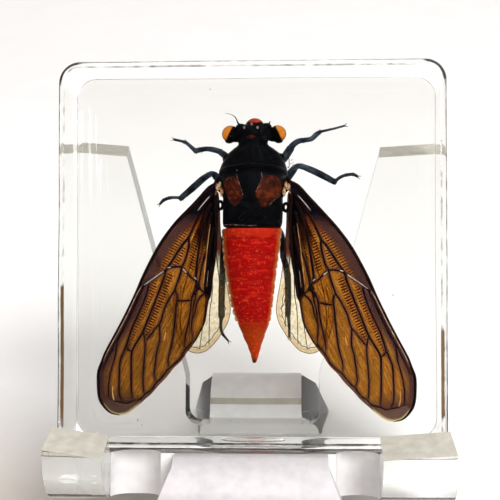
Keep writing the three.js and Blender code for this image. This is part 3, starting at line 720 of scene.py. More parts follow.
def tube(path, widths, sides=10, flatness=1.0):
    """A round rod along a path, pointed softly at both ends."""
    path = [Vector(p) for p in path]
    rings = []
    across = None
    for i, here in enumerate(path):
        ahead = (path[min(i + 1, len(path) - 1)] - path[max(i - 1, 0)]).normalized()
        if across is None:
            across = ahead.cross(Vector((0, 0, 1)) if abs(ahead.z) < 0.9 else Vector((1, 0, 0)))
        across = (across - across.dot(ahead) * ahead).normalized()
        up = across.cross(ahead)
        r = float(widths[i]) / 2
        rings.append([
            tuple(here + r * (math.cos(a) * across + flatness * math.sin(a) * up))
            for a in (2 * math.pi * k / sides for k in range(sides))
        ])
    start, end = (path[0] - path[1]).normalized(), (path[-1] - path[-2]).normalized()
    tips = [[tuple(path[0] * 0.5 + Vector(p) * 0.5 + start * float(widths[0]) * 0.3) for p in rings[0]]]
    tails = [[tuple(path[-1] * 0.5 + Vector(p) * 0.5 + end * float(widths[-1]) * 0.3) for p in rings[-1]]]
    points, faces = joined_rings(tips + rings + tails)
    return points, flipped(faces)


def thin_skin(material, surface, colour, heights, roughness, stopped):
    """A dry skin with a waxy gloss: most light passes it tinted, and the share that it stops makes it glow."""
    # A ray crosses the sheet's two faces, so each lets the square root of the colour through.
    through = add_node(material, "Gamma", {"Color": colour, "Gamma": 0.5}).outputs["Color"]
    passing = add_node(material, "BsdfTransparent", {"Color": through}).outputs["BSDF"]
    glow = add_node(material, "BsdfTranslucent", {"Color": colour}).outputs["BSDF"]
    relief = add_node(material, "Bump", {"Height": heights, "Strength": 0.4, "Distance": 0.00003}).outputs["Normal"]
    gloss = {"Base Color": colour, "Normal": relief, "Roughness": roughness, "Specular IOR Level": 0.05}
    waxy = add_node(material, "BsdfPrincipled", gloss).outputs["BSDF"]
    skin = add_node(material, "MixShader", {0: 0.5, 1: glow, 2: waxy}).outputs["Shader"]
    add_node(material, "MixShader", {0: stopped, 1: passing, 2: skin}, {"Shader": surface})


def forewing_depth(u, v):
    """Height of the wing's middle surface over the block's middle: it droops to the tip and sags across."""
    return 0.83 + 0.024 * v - 0.00008 * (u - 4 + 0.5 * (v - 7)) ** 2


def forewing(side):
    name = "right" if side > 0 else "left"
    flat, faces = triangulated(FOREWING_OUTLINE, WING_GRID)
    lines = {vein: smooth_line(points, 0.2) for vein, (_, _, points) in FOREWING_VEINS.items()}
    to_vein = np.min([distances(flat, line)[0] for line in lines.values()], axis=0)
    to_edge = distances(flat, [*smooth_line(FOREWING_OUTLINE, 0.2, closed=True)])[0]
    to_front, along = distances(flat, smooth_line(FRONT_LINE, 0.2))
    heights = forewing_depth(flat[:, 0], flat[:, 1]) + 0.05 * ramp(to_vein, 0.05, 0.6)

    def placed(points):
        # the left wing is a little narrower, and its outer part is carried a touch higher
        if side > 0:
            return points
        inward = lambda u: float(np.interp(u, [4, 7, 14, 17.1], [0.0, 0.27, 0.33, 0.25]))
        lift = lambda u: float(np.interp(u, [4.5, 8.5, 17.1], [-0.05, 0.36, 0.3]))
        return [(inward(u) - u * 0.984, v * 0.988 + lift(u), w) for u, v, w in points]

    points, closed = thin_solid(flat, faces, heights, WING_SHEET)
    if side < 0:
        closed = flipped(closed)
    membrane = object_of(f"forewing_{name}_membrane", placed(points), closed, amber_membrane)

    # the border is all that lies past the outer line
    beyond = inside(flat, [*[Vector(p) for p in OUTER_LINE], *[Vector(p) * 1.4 for p in reversed(OUTER_LINE)]])
    to_outer = distances(flat, smooth_line(OUTER_LINE, 0.2))[0]
    # the smoke lies between the front edge and the vein behind it, and pales towards the tip
    band = np.interp(along, [0.0, 0.3, 0.5, 0.62, 0.9, 1.0], [1.6, 1.55, 1.5, 1.5, 1.2, 1.3])
    smoke = (1 - ramp(to_front - band, -0.9, 0.1)) * (1 - 0.15 * ramp(along, 0.5, 0.75))
    smoke = np.maximum(smoke, 0.75 * ramp(-flat[:, 1] + 0.25 * (flat[:, 0] - 14), 14.0, 16.6))
    root = ramp(flat[:, 1] + 0.1 * (flat[:, 0] - 5), 1.8, 5.5)
    clavus = np.interp(-flat[:, 1], [-8, -4, -2, 0, 2, 4.2, 5.6], [5.0, 4.85, 4.75, 4.95, 5.2, 5.45, 5.2])
    root = np.maximum(root, (1 - ramp(flat[:, 0] - clavus, -0.25, 0.12)) * (1 - ramp(-flat[:, 1], 4.0, 5.2)))
    crossed = np.max([
        strength * (1 - ramp(distances(flat, smooth_line(line, 0.2))[0], reach * 0.35, reach))
        for line, reach, strength in CROSSED_CELLS
    ], axis=0)
    pale_rim = (1 - ramp(to_edge, 0.06, 0.3)) * ramp(-flat[:, 1], 15.9, 16.6)
    for mask, values in {
        "from_vein_mm": to_vein, "smoke": smoke, "border": np.where(beyond, ramp(to_outer, 0, 0.1), 0),
        "root_shade": root, "crossed": crossed, "pale_rim": pale_rim,
    }.items():
        set_mask(membrane, mask, np.tile(values, 2))
    wing_mm = membrane.data.attributes.new("wing_mm", "FLOAT_VECTOR", "POINT")
    wing_mm.data.foreach_set("vector", np.tile(np.c_[flat, np.zeros(len(flat))], (2, 1)).astype(np.float32).ravel())
    place(membrane, [f"forewing_{name}"])

    shapes = []
    for vein, (first, last, _) in FOREWING_VEINS.items():
        line = lines[vein]
        shares = [k / (len(line) - 1) for k in range(len(line))]
        widths = [(first + (last - first) * t) * min(1, 0.3 + 9 * (1 - t)) for t in shares]
        lifted = [(p.x, p.y, forewing_depth(p.x, p.y) + 0.02) for p in line]
        shapes.append(tube(lifted, widths, sides=8, flatness=0.85))
    for u, v, size in ((6.15, -3.5, 0.75), (6.5, -4.2, 0.5), (9.7, -1.95, 0.36), (12.3, -3.75, 0.34)):
        shapes.append(ball((u, v, forewing_depth(u, v) + 0.03), (size / 2, size / 2, 0.12), 6))
    counts = [len(shapes)]
    # painted highlights: pale lines lifted just over the wing
    for pale in PAINTED_HIGHLIGHT_LINES.values():
        for width, points in pale:
            line = smooth_line(points, 0.15)
            widths = [width * min(1, 0.35 + 6 * min(k, len(line) - 1 - k) / len(line)) for k in range(len(line))]
            shapes.append(tube([(p.x, p.y, forewing_depth(p.x, p.y) + 0.17) for p in line], widths, 6, 0.5))
        counts.append(len(shapes))
    points, closed = collected(*shapes)
    if side < 0:
        closed = flipped(closed)
    veins = object_of(f"forewing_{name}_veins", placed(points), closed, vein_cuticle, *painted_highlight_materials)
    ends = np.cumsum([len(faces) for _, faces in shapes])
    for face in veins.data.polygons:
        shape = int(np.searchsorted(ends, face.index, side="right"))
        face.material_index = sum(shape >= count for count in counts)
    place(veins)


amber_membrane, surface, where, from_vein, smoke, border, root_shade, crossed, pale_rim = blank_material(
    "amber_wing_membrane", "from_vein_mm", "smoke", "border", "root_shade", "crossed", "pale_rim", places="wing_mm"
)
# Dry membrane with a waxy gloss. Light comes through it golden, greyer beside the veins, with cross ripples about
# 0.3 mm apart in its middle cells and lengthwise streaks towards its tip; smoky brown-violet along the front.
turned = add_node(
    amber_membrane, "VectorRotate", {"Vector": where, "Angle": math.radians(-25)}, rotation_type="Z_AXIS"
).outputs["Vector"]
stretched = add_node(amber_membrane, "VectorMath", {0: turned, 1: (6.0, 0.5, 0)}, operation="MULTIPLY")
streaks = add_node(amber_membrane, "TexNoise", {"Vector": stretched.outputs["Vector"], "Scale": 1.0, "Detail": 4.0})
grain = add_node(amber_membrane, "TexNoise", {"Vector": where, "Scale": 4.5, "Detail": 3.0})
cloud = add_node(amber_membrane, "TexNoise", {"Vector": where, "Scale": 0.6, "Detail": 2.0})
RIPPLE = 0.3  # mm from one ripple to the next
ripples = add_node(
    amber_membrane,
    "TexWave",
    {"Vector": turned, "Scale": 2 * math.pi / 20 / RIPPLE, "Distortion": 1.2, "Detail": 2.0, "Detail Scale": 1.4},
    bands_direction="Y",
)
fine = add_node(amber_membrane, "Math", {0: ripples.outputs["Fac"], 1: crossed}, operation="MULTIPLY")
amber = layered(
    amber_membrane, "a4641c",
    ("be8634", streaks.outputs["Fac"], 0.44, 0.62, 0.9),
    ("7a4614", streaks.outputs["Fac"], 0.46, 0.34, 0.6),
    ("7c4a14", grain.outputs["Fac"], 0.52, 0.7, 0.8),
    ("8a5a1c", cloud.outputs["Fac"], 0.5, 0.7, 0.6),
    ("4a1406", fine.outputs["Value"], 0.3, 0.55, 1.0),
    ("6c4436", from_vein, 0.34, 0.12, 0.8),
    ("6a2a0c", root_shade, 0.02, 0.45, 0.9),
    ("4a3030", smoke, 0.05, 0.8, 0.94),
    ("6e5248", border, 0.0, 1.0, 0.9),
    ("0b0911", root_shade, 0.3, 0.85, 0.98),
    ("f3dda2", pale_rim, 0.0, 1.0, 1.0),
)
thin_skin(amber_membrane, surface, amber, ripples.outputs["Fac"], 0.35, 0.1)

vein_cuticle, surface, where = blank_material("vein_cuticle_dark")
# Hollow rods of hard brown-black cuticle, redder where they thin out, with a satin gloss.
mottle = add_node(vein_cuticle, "TexNoise", {"Vector": where, "Scale": 2.5, "Detail": 4.0}).outputs["Fac"]
colour = layered(vein_cuticle, "080206", ("2a0a08", mottle, 0, 1, 1))
pits = add_node(vein_cuticle, "TexNoise", {"Vector": where, "Scale": 14.0, "Detail": 2.0}).outputs["Fac"]
rough = add_node(vein_cuticle, "Bump", {"Height": pits, "Strength": 0.3, "Distance": 0.00002}).outputs["Normal"]
add_node(
    vein_cuticle,
    "BsdfPrincipled",
    {"Base Color": colour, "Normal": rough, "Roughness": 0.38, "Specular IOR Level": 0.06},
    {"BSDF": surface},
)

# Painted highlights: thin pale lines along creases and veins, white, pinkish and golden, stand for glints of light.
painted_highlight_materials = []
for tint, light, dark in (("white", "fff6f2", "e8ccc4"), ("pink", "f6cfb4", "b8846c"), ("gold", "f6cc80", "c8883c")):
    glint, surface, where = blank_material(f"air_line_{tint}")
    broken = add_node(glint, "TexNoise", {"Vector": where, "Scale": 2.2, "Detail": 3.0}).outputs["Fac"]
    colour = layered(glint, light, (dark, broken, 0.42, 0.62, 1))
    add_node(glint, "BsdfPrincipled", {"Base Color": colour, "Roughness": 0.4}, {"BSDF": surface})
    painted_highlight_materials.append(glint)
for side in (-1, 1):
    forewing(side)

# ---- Hindwings
# Short pale membranes tucked under the forewings, clear cream with thin brown veins and a tan border that is
# pinched in small scallops between the veins.
HINDWING_OUTLINE = [
    (3.9, 6.8), (5.2, 4.6), (6.6, 1.4), (7.9, -2), (8.6, -5), (8.3, -7.8), (7.6, -9.4), (6.9, -10.15),
    (6.05, -10.4), (5.3, -10.25), (4.7, -9.9), (3.8, -8.9), (3.2, -8.0), (2.75, -7.2), (2.5, -6.3), (2.45, -5.6),
    (2.6, -4.4), (2.9, -2.8), (3.2, -0.6), (3.5, 2.7), (3.6, 5.2),
]
HINDWING_VEINS = [
    [(4.2, 5.8), (4.0, 1.0), (3.6, -3.0), (3.3, -5.0), (2.9, -5.7)],
    [(3.6, -3.2), (3.45, -5.8), (3.4, -7.6)],
    [(4.3, 5.2), (4.35, 0), (4.4, -4), (4.65, -6.0), (4.75, -9.4)],
    [(4.5, 5), (4.9, 0), (5.1, -5), (5.4, -7.5), (5.75, -9.95)],
    [(4.7, 4.6), (5.6, 0), (6.4, -4), (6.8, -7), (6.8, -9.7)],
    [(4.9, 4.4), (6.4, 0), (7.5, -4), (7.8, -6.8), (7.7, -8.7)],
]
BORDER_WIDTH = 0.5


def hindwing_depth(u, v):
    return -0.25 + 0.012 * v + 0.05 * np.sin(u * 2.4)


pale_membrane, surface, where, border, base = blank_material("pale_wing_membrane", "border", "base")
# Nearly colourless dry membrane with fine crosswise creases, tan and cloudy along its border, brown at its root.
streaky = add_node(pale_membrane, "TexNoise", {"Vector": where, "Scale": 1.4, "Detail": 3.0}).outputs["Fac"]
streaky = add_node(pale_membrane, "Math", {0: base, 1: streaky}, operation="MULTIPLY").outputs["Value"]
creases = add_node(pale_membrane, "TexNoise", {"Vector": where, "Scale": 3.0, "Detail": 4.0}).outputs["Fac"]
dots = add_node(pale_membrane, "TexVoronoi", {"Vector": where, "Scale": 3.2}).outputs["Distance"]
cream = layered(
    pale_membrane, "f6ebc4",
    ("fdf8e6", creases, 0.4, 0.65, 1.0),
    ("ead2a4", border, 0.0, 1.0, 0.9),
    ("c89c6c", dots, 0.5, 0.8, 0.35),
    ("2c100a", base, 0.0, 1.0, 0.97),
    ("6a2410", streaky, 0.46, 0.6, 0.6),
)
thin_skin(pale_membrane, surface, cream, creases, 0.4, 0.05)

thin_vein, surface, where = blank_material("hindwing_vein_brown")
# Thin hollow veins, pale brown where light comes through them.
mottle = add_node(thin_vein, "TexNoise", {"Vector": where, "Scale": 4.0, "Detail": 3.0}).outputs["Fac"]
colour = layered(thin_vein, "3c2c18", ("6e5430", mottle, 0, 1, 1))
add_node(
    thin_vein,
    "BsdfPrincipled",
    {"Base Color": colour, "Roughness": 0.45, "Specular IOR Level": 0.05},
    {"BSDF": surface},
)

for side, name in ((-1, "left"), (1, "right")):
    flat, faces = triangulated(HINDWING_OUTLINE, 0.16)
    edge_line = smooth_line(HINDWING_OUTLINE, 0.15, closed=True)
    edge_line.append(edge_line[0])
    to_edge = distances(flat, edge_line)[0]
    heights = hindwing_depth(flat[:, 0], flat[:, 1])
    points, closed = thin_solid(flat, faces, heights, WING_SHEET)
    if side < 0:
        closed = flipped(closed)
    membrane = object_of(
        f"hindwing_{name}_membrane", [(side * u, v, w) for u, v, w in points], closed, pale_membrane
    )
    shade = (1 - ramp(to_edge, BORDER_WIDTH * 0.8, BORDER_WIDTH)) * ramp(-flat[:, 1], 1.5, 4.0)
    root = ramp(flat[:, 1] - 0.9 * (flat[:, 0] - 3.6), -2.2, 0.6)
    set_mask(membrane, "border", np.tile(shade, 2))
    set_mask(membrane, "base", np.tile(root, 2))
    place(membrane, [f"hindwing_{name}"])

    scallops = []
    for i in range(len(edge_line) - 1):
        p, ahead = edge_line[i], (edge_line[i + 1] - edge_line[i]).normalized()
        if p.y < -3:
            pinch = BORDER_WIDTH * (1 + 0.22 * abs(math.sin(i * 0.42)))
            scallops.append(p + pinch * Vector((ahead.y, -ahead.x, 0)))
    shapes = []
    for line, first, last in (
        *[(smooth_line(vein, 0.25), 0.14, 0.08) for vein in HINDWING_VEINS],
        (scallops, 0.08, 0.08),
        (edge_line, 0.07, 0.07),
    ):
        widths = [first + (last - first) * k / (len(line) - 1) for k in range(len(line))]
        shapes.append(tube([(side * p.x, p.y, hindwing_depth(p.x, p.y)) for p in line], widths, sides=6))
    place(object_of(f"hindwing_{name}_veins", *collected(*shapes), thin_vein))

# ---- Abdomen
# Ten rings of bright red cuticle and a tip of two more, each tucked under the one before it, dried into fine cross
# wrinkles, orange along both sides, and dark at the very end.
ABDOMEN_RINGS = [
    # middle u, half width, v where the ring starts
    (-0.12, 3.05, 2.85), (-0.14, 2.97, 1.75), (-0.2, 2.83, 0.2), (-0.22, 2.64, -1.4), (-0.2, 2.44, -2.85),
    (-0.16, 2.24, -4.15), (-0.1, 2.02, -5.55), (0.02, 1.66, -7.0), (0.06, 1.18, -8.35), (0.12, 0.7, -9.6),
    (0.17, 0.42, -10.5), (0.14, 0.27, -11.1), (0.12, 0.14, -11.42),
]
ABDOMEN_FLATTEN = 0.84

red_cuticle, surface, where, on_side, ring_edge, at_tip, on_first_ring = blank_material(
    "red_cuticle", "to_side", "ring_edge", "to_tip", "first_ring"
)
# Hard red skin, glowing where light comes through it, with cross wrinkles about 0.3 mm apart; brighter on the
# first ring, orange towards the sides and the tip.
squeezed = add_node(red_cuticle, "VectorMath", {0: where, 1: (0.9, 3.4, 0.9)}, operation="MULTIPLY")
wrinkles = add_node(
    red_cuticle, "TexNoise", {"Vector": squeezed.outputs["Vector"], "Scale": 1.0, "Detail": 5.0}
).outputs["Fac"]
blotches = add_node(red_cuticle, "TexNoise", {"Vector": where, "Scale": 0.5, "Detail": 3.0}).outputs["Fac"]
glint_and_tip_patch_noise = add_node(red_cuticle, "TexNoise", {"Vector": where, "Scale": 3.2, "Detail": 2.0}).outputs["Fac"]
patches = add_node(red_cuticle, "Math", {0: glint_and_tip_patch_noise, 1: at_tip}, operation="MULTIPLY").outputs["Value"]
red = layered(
    red_cuticle, "c80804",
    ("ff3418", wrinkles, 0.5, 0.66, 0.75),
    ("bc0602", blotches, 0.5, 0.66, 0.75),
    ("960804", ring_edge, 0.2, 1.0, 0.6),
    ("e83416", on_first_ring, 0.0, 1.0, 0.8),
    # painted highlights: pale orange specks standing for glints
    ("ff6a40", glint_and_tip_patch_noise, 0.6, 0.7, 0.6),
    ("ff7a24", on_side, 0.66, 0.96, 0.9),
    ("c85210", at_tip, 0.66, 0.78, 0.7),
    ("ff4418", patches, 0.46, 0.56, 0.8),
    ("40301c", at_tip, 0.955, 0.985, 0.95),
)
relief = add_node(red_cuticle, "Bump", {"Height": wrinkles, "Strength": 0.7, "Distance": 0.00012}).outputs["Normal"]
add_node(
    red_cuticle,
    "BsdfPrincipled",
    {
        "Base Color": red,
        "Normal": relief,
        "Roughness": 0.35,
        "Specular IOR Level": 0.06,
        "Subsurface Weight": 0.25,
        "Subsurface Radius": (0.0012, 0.0004, 0.0002),
        "Subsurface Scale": 1.0,
    },
    {"BSDF": surface},
)
side_skin, surface, where = blank_material("side_skin_cream")
# The soft skin between back and belly plates, drawn out in small cream and orange lobes.
flecks = add_node(side_skin, "TexNoise", {"Vector": where, "Scale": 1.6, "Detail": 3.0}).outputs["Fac"]
colour = layered(side_skin, "fbe6b8", ("f0862c", flecks, 0.42, 0.62, 1))
add_node(
    side_skin, "BsdfPrincipled", {"Base Color": colour, "Roughness": 0.4, "Specular IOR Level": 0.06}, {"BSDF": surface}
)

abdomen_rings, to_side, ring_edges, to_tip, first_ring = [], [], [], [], []
COLUMNS = 96
for r in range(len(ABDOMEN_RINGS) - 1):
    (u0, half0, v0), (u1, half1, v1) = ABDOMEN_RINGS[r], ABDOMEN_RINGS[r + 1]
    for t in (0.0, 0.03, 0.08, 0.2, 0.35, 0.5, 0.65, 0.8, 0.92, 0.985):
        swell = 0.055 * math.sin(math.pi * min(t * 1.25, 1)) * min(half0, 1.5) / 1.5
        tuck = 0.07 * (1 - ramp(t, 0, 0.08)) * min(half0, 1.2) / 1.2 if r else 0
        half = half0 + (half1 - half0) * t + swell - tuck
        u, v = u0 + (u1 - u0) * t, v0 + (v1 - v0) * t
        ring = []
        for c in range(COLUMNS):
            angle = 2 * math.pi * c / COLUMNS
            across, up = math.cos(angle), math.sin(angle)
            keel = 0.02 * math.exp(-((up - 0.05) / 0.16) ** 2)
            bumpy = 0.02 * noise.noise(Vector((across * 6, v * 1.2, up * 6)))
            width, height = half * (1 + keel + bumpy), half * ABDOMEN_FLATTEN * (1 + bumpy)
            height *= 1.0 if up > 0 else 0.9
            ring.append((u + width * across, v, -0.1 + height * up))
            to_side.append(abs(across) ** 3)
            ring_edges.append(max(0.0, 1 - t / 0.08) if r else 0.0)
            to_tip.append((2.8 - v) / 14.2)
            wavy = 1.92 + 0.16 * math.sin(across * 9 + 1) + 0.11 * math.sin(across * 27)
            first_ring.append(float(ramp(np.float64(v), wavy - 0.1, wavy + 0.1)))
        abdomen_rings.append(ring)
points, faces = joined_rings(abdomen_rings)
lobes = []
for (u0, half0, v0), (u1, half1, v1) in zip(ABDOMEN_RINGS[:7], ABDOMEN_RINGS[1:8]):
    for side, width in ((-1, 0.2), (1, 0.1)):
        for t in (0.3, 0.75):
            middle = (u0 + (u1 - u0) * t + side * (half0 + (half1 - half0) * t + 0.03), v0 + (v1 - v0) * t, -0.1)
            lobes.append(ball(middle, (width, (v0 - v1) * 0.27, 0.25), 8))
ring_faces = len(faces)
points, faces = collected((points, flipped(faces)), *lobes)
abdomen = object_of("cicada_abdomen_rings", points, faces, red_cuticle, side_skin)
for face in abdomen.data.polygons:
    face.material_index = int(face.index >= ring_faces)
on_lobes = [0.0] * (len(points) - len(to_side))
ring_masks = {"to_side": to_side, "ring_edge": ring_edges, "to_tip": to_tip, "first_ring": first_ring}
for mask, values in ring_masks.items():
    set_mask(abdomen, mask, values + on_lobes)
place(abdomen, ["cicada_abdomen"])

# ---- Head and thorax
# One hard near-black shell: a broad head with a swollen red face and two bulging eyes, a collar, and a domed back
# with two rust patches, furrows and the raised cross that cicadas have between the wing roots.
BODY_HALF_WIDTHS = [
    # v, middle u, half width, half height
    (3.0, -0.09, 3.06, 2.6), (3.4, -0.08, 3.18, 2.85), (4.4, -0.05, 3.22, 3.1), (5.2, -0.03, 3.22, 3.25),
    (6.0, -0.04, 3.2, 3.35), (7.0, -0.05, 3.3, 3.4), (7.6, -0.02, 3.56, 3.4), (8.1, 0.0, 3.72, 3.35),
    (8.6, 0.0, 3.72, 3.3), (9.0, 0.0, 3.66, 3.2), (9.8, 0.05, 3.4, 2.95), (10.4, 0.08, 3.05, 2.7),
    (11.0, 0.08, 2.65, 2.45), (11.4, 0.05, 2.15, 2.2), (11.8, 0.0, 1.6, 1.9), (12.4, 0.0, 1.5, 1.7),
]
REMESH = 0.085


def skinned(name, shapes, size, smoothing, *materials):
    """One closed skin round several overlapping shapes, with mesh cells of this size."""
    made = object_of(name, *collected(*shapes))
    skin = made.modifiers.new("skin", "REMESH")
    skin.mode, skin.voxel_size, skin.use_smooth_shade = "VOXEL", size * MM, True
    even = made.modifiers.new("even", "SMOOTH")
    even.factor, even.iterations = 0.5, smoothing
    apply_steps(made)
    made.data.materials.clear()
    for material in materials:
        made.data.materials.append(material)
    made.data.shade_smooth()
    return made


body_rings = []
stations = smooth_line([(v, half, 0) for v, _, half, _ in BODY_HALF_WIDTHS], 0.3)
for station in stations:
    v = station.x
    table = np.array(BODY_HALF_WIDTHS)
    middle, half, height = (np.interp(v, table[:, 0], table[:, k]) for k in (1, 2, 3))
    body_rings.append([
        (
            middle + half * math.copysign(abs(math.cos(a)) ** 0.9, math.cos(a)),
            v,
            -0.15 + height * math.copysign(abs(math.sin(a)) ** 0.92, math.sin(a)) * (1 if math.sin(a) > 0 else 0.85),
        )
        for a in (2 * math.pi * k / 48 for k in range(48))
    ])
points, faces = joined_rings(body_rings)
trunk = (points, flipped(faces))


def knobbed(path, sides=12):
    """A rod through (u, v, w, width) stations, smooth along its length."""
    line = smooth_line([p[:3] for p in path], 0.12)
    knots = [Vector(p[:3]) for p in path]
    nearest = [min(range(len(line)), key=lambda i: (line[i] - knot).length) for knot in knots]
    widths = np.interp(range(len(line)), nearest, [p[3] for p in path])
    return tube(line, list(widths), sides)


shell = [
    trunk,
    # head, brow, feeler roots, swollen face, eye roots, and the corners behind the eyes
    ball((0, 12.95, -0.2), (2.1, 1.05, 1.75), 16),
    ball((0, 13.3, -0.1), (1.5, 0.85, 1.45), 14),
    ball((-1.3, 13.62, 0.05), (0.62, 0.5, 0.6)),
    ball((1.4, 13.66, 0.05), (0.62, 0.52, 0.6)),
    ball((0.15, 13.75, -0.65), (1.05, 1.0, 1.5), 14),
    ball((-1.9, 12.8, 0.0), (0.75, 0.72, 0.8)),
    ball((2.1, 12.85, 0.0), (0.75, 0.72, 0.8)),
    ball((-2.55, 12.3, 0.0), (0.5, 0.34, 0.5)),
    ball((2.72, 12.3, 0.0), (0.5, 0.34, 0.5)),
    # raised cross on the back and the keels that run from it to the wing roots
    knobbed([(-1.25, 3.8, 2.75, 0.42), (-0.5, 4.4, 3.05, 0.5), (0.5, 4.9, 3.15, 0.5), (1.25, 5.4, 3.0, 0.42)]),
    knobbed([(1.25, 3.8, 2.75, 0.42), (0.5, 4.4, 3.05, 0.5), (-0.5, 4.9, 3.15, 0.5), (-1.25, 5.4, 3.0, 0.42)]),
    ball((0, 4.65, 2.95), (0.75, 0.55, 0.4)),
    # collar
    knobbed([(-3.35, 8.9, 0.9, 0.5), (-2.6, 9.15, 2.2, 0.5), (-1.2, 9.35, 2.9, 0.45), (0, 9.4, 3.05, 0.42),
             (1.2, 9.35, 2.9, 0.45), (2.6, 9.15, 2.2, 0.5), (3.35, 8.9, 0.9, 0.5)]),
    # wing roots, roots of the middle and fore legs, cover plates under the waist, and the beak
    ball((-3.3, 7.6, 0.6), (0.4, 0.5, 0.6)),
    ball((3.25, 7.6, 0.6), (0.4, 0.5, 0.6)),
    ball((-3.1, 8.1, -1.6), (0.8, 0.8, 1.1)),
    ball((3.15, 8.1, -1.6), (0.8, 0.8, 1.1)),
    ball((-2.6, 10.4, -1.7), (0.75, 0.7, 0.9)),
    ball((2.7, 10.4, -1.7), (0.75, 0.7, 0.9)),
    ball((-1.5, 2.9, -2.2), (1.4, 1.1, 0.5)),
    ball((1.4, 2.9, -2.2), (1.4, 1.1, 0.5)),
    knobbed([(0.1, 13.2, -1.8, 1.0), (0.1, 12.2, -2.6, 0.75), (0.1, 10.6, -3.15, 0.45), (0.05, 8.4, -3.5, 0.26)]),
]
FURROWS = [
    # line over the back, width, depth
    ([(-3.4, 8.55), (-1.6, 9.0), (0, 9.08), (1.6, 9.0), (3.4, 8.55)], 0.13, 0.16),
    ([(-0.9, 11.7), (-1.5, 10.7), (-2.3, 10.0)], 0.16, 0.12),
    ([(0.9, 11.7), (1.5, 10.7), (2.3, 10.0)], 0.16, 0.12),
    ([(-0.35, 11.6), (-0.4, 10.4), (0, 9.7), (0.4, 10.4), (0.35, 11.6)], 0.12, 0.08),
    ([(-0.55, 8.9), (-0.75, 7.6), (-1.1, 6.6)], 0.1, 0.07),
    ([(0.55, 8.9), (0.75, 7.6), (1.1, 6.6)], 0.1, 0.07),
    ([(-2.2, 5.2), (-1.2, 5.75), (0, 5.5), (1.2, 5.75), (2.2, 5.2)], 0.16, 0.12),
    ([(-3.1, 3.6), (-1.5, 3.45), (0, 3.6), (1.5, 3.45), (3.1, 3.6)], 0.14, 0.15),
    ([(-1.9, 12.25), (0, 12.1), (1.9, 12.25)], 0.14, 0.16),
    ([(-0.6, 13.9), (-0.75, 13.2), (-0.35, 12.7)], 0.1, 0.06),
    ([(0.85, 13.95), (0.8, 13.2), (0.35, 12.7)], 0.1, 0.06),
]
RUST_PATCHES = [
    [(-2.95, 7.95), (-2.3, 8.3), (-1.6, 8.1), (-1.25, 6.9), (-1.0, 6.1), (-1.45, 5.4), (-1.9, 5.15), (-2.4, 5.6),
     (-2.8, 6.4), (-3.05, 7.2)],
    [(1.15, 8.3), (2.45, 8.35), (2.95, 7.7), (3.1, 6.95), (2.85, 6.3), (2.1, 5.65), (1.5, 5.05), (0.9, 5.1),
     (0.65, 5.7), (0.3, 6.4), (0.5, 7.05), (0.9, 7.75)],
    [(-0.75, 12.55), (-0.2, 12.78), (0.4, 12.55), (-0.2, 12.38)],
]
BACK_GLINTS = [
    # fine lines and dots of light on the back: width and points
    (0.05, [(-1.7, 8.5), (-1.5, 7.9), (-1.2, 7.0), (-1.0, 6.3)]),
    (0.05, [(0.95, 8.7), (1.0, 8.1), (0.75, 7.4), (0.35, 6.6)]),
    (0.05, [(2.9, 6.3), (2.25, 5.75), (1.75, 5.2)]),
    (0.1, [(-1.64, 8.86), (-1.6, 8.94)]),
    (0.08, [(-1.76, 11.46), (-1.7, 11.52)]),
    (0.07, [(-2.42, 12.66), (-2.38, 12.72)]),
    (0.04, [(-2.8, 7.9), (-2.5, 8.15), (-2.2, 8.0)]),
    (0.06, [(-3.05, 3.25), (-0.5, 3.1), (0.4, 3.12)]),
]

black_cuticle, surface, where, rust, face_red = blank_material("black_cuticle", "rust", "face_red")
# Blue-black chitin with a fine shagreen about 0.1 mm across, thinner and rust-red in the patches on the back and
# over the swollen face, where light comes through.
cloud = add_node(black_cuticle, "TexNoise", {"Vector": where, "Scale": 0.9, "Detail": 4.0}).outputs["Fac"]
shagreen = add_node(black_cuticle, "TexNoise", {"Vector": where, "Scale": 8.0, "Detail": 3.0}).outputs["Fac"]
fine = add_node(black_cuticle, "TexNoise", {"Vector": where, "Scale": 1.7, "Detail": 5.0}).outputs["Fac"]
patchy = add_node(black_cuticle, "Math", {0: rust, 1: fine}, operation="MULTIPLY").outputs["Value"]
veiled = add_node(black_cuticle, "Math", {0: rust, 1: cloud}, operation="MULTIPLY").outputs["Value"]
black = layered(
    black_cuticle, "020307",
    ("0a0c14", cloud, 0.4, 0.75, 1.0),
    ("4a1c0e", rust, 0.3, 0.9, 1.0),
    ("84391c", patchy, 0.47, 0.6, 0.9),
    ("1c0d0a", veiled, 0.5, 0.62, 0.85),
    ("b83c22", face_red, 0.0, 1.0, 1.0),
)
relief = add_node(black_cuticle, "Bump", {"Height": shagreen, "Strength": 0.4, "Distance": 0.00003}).outputs["Normal"]
add_node(
    black_cuticle,
    "BsdfPrincipled",
    {"Base Color": black, "Normal": relief, "Roughness": 0.42, "Specular IOR Level": 0.04},
    {"BSDF": surface},
)

body = skinned("cicada_head_thorax_shell", shell, REMESH, 5, black_cuticle)
count = len(body.data.vertices)
drawn, outward = np.empty(count * 3), np.empty(count * 3)
body.data.vertices.foreach_get("co", drawn)
body.data.vertices.foreach_get("normal", outward)
drawn, outward = drawn.reshape(-1, 3) / MM, outward.reshape(-1, 3)
on_back = ramp(outward[:, 2], 0.05, 0.35)
for line, width, depth in FURROWS:
    apart = distances(drawn, smooth_line(line, 0.2))[0]
    drawn -= outward * (depth * np.exp(-((apart / width) ** 2)) * on_back)[:, None]
body.data.vertices.foreach_set("co", (drawn * MM).ravel())
body.data.update()
rust = np.zeros(count)
for patch in RUST_PATCHES:
    edge = smooth_line(patch, 0.2, closed=True)
    apart = distances(drawn, [*edge, edge[0]])[0] * np.where(inside(drawn, edge), 1, -1)
    rust = np.maximum(rust, ramp(apart, -0.12, 0.12) * on_back)
set_mask(body, "rust", rust)
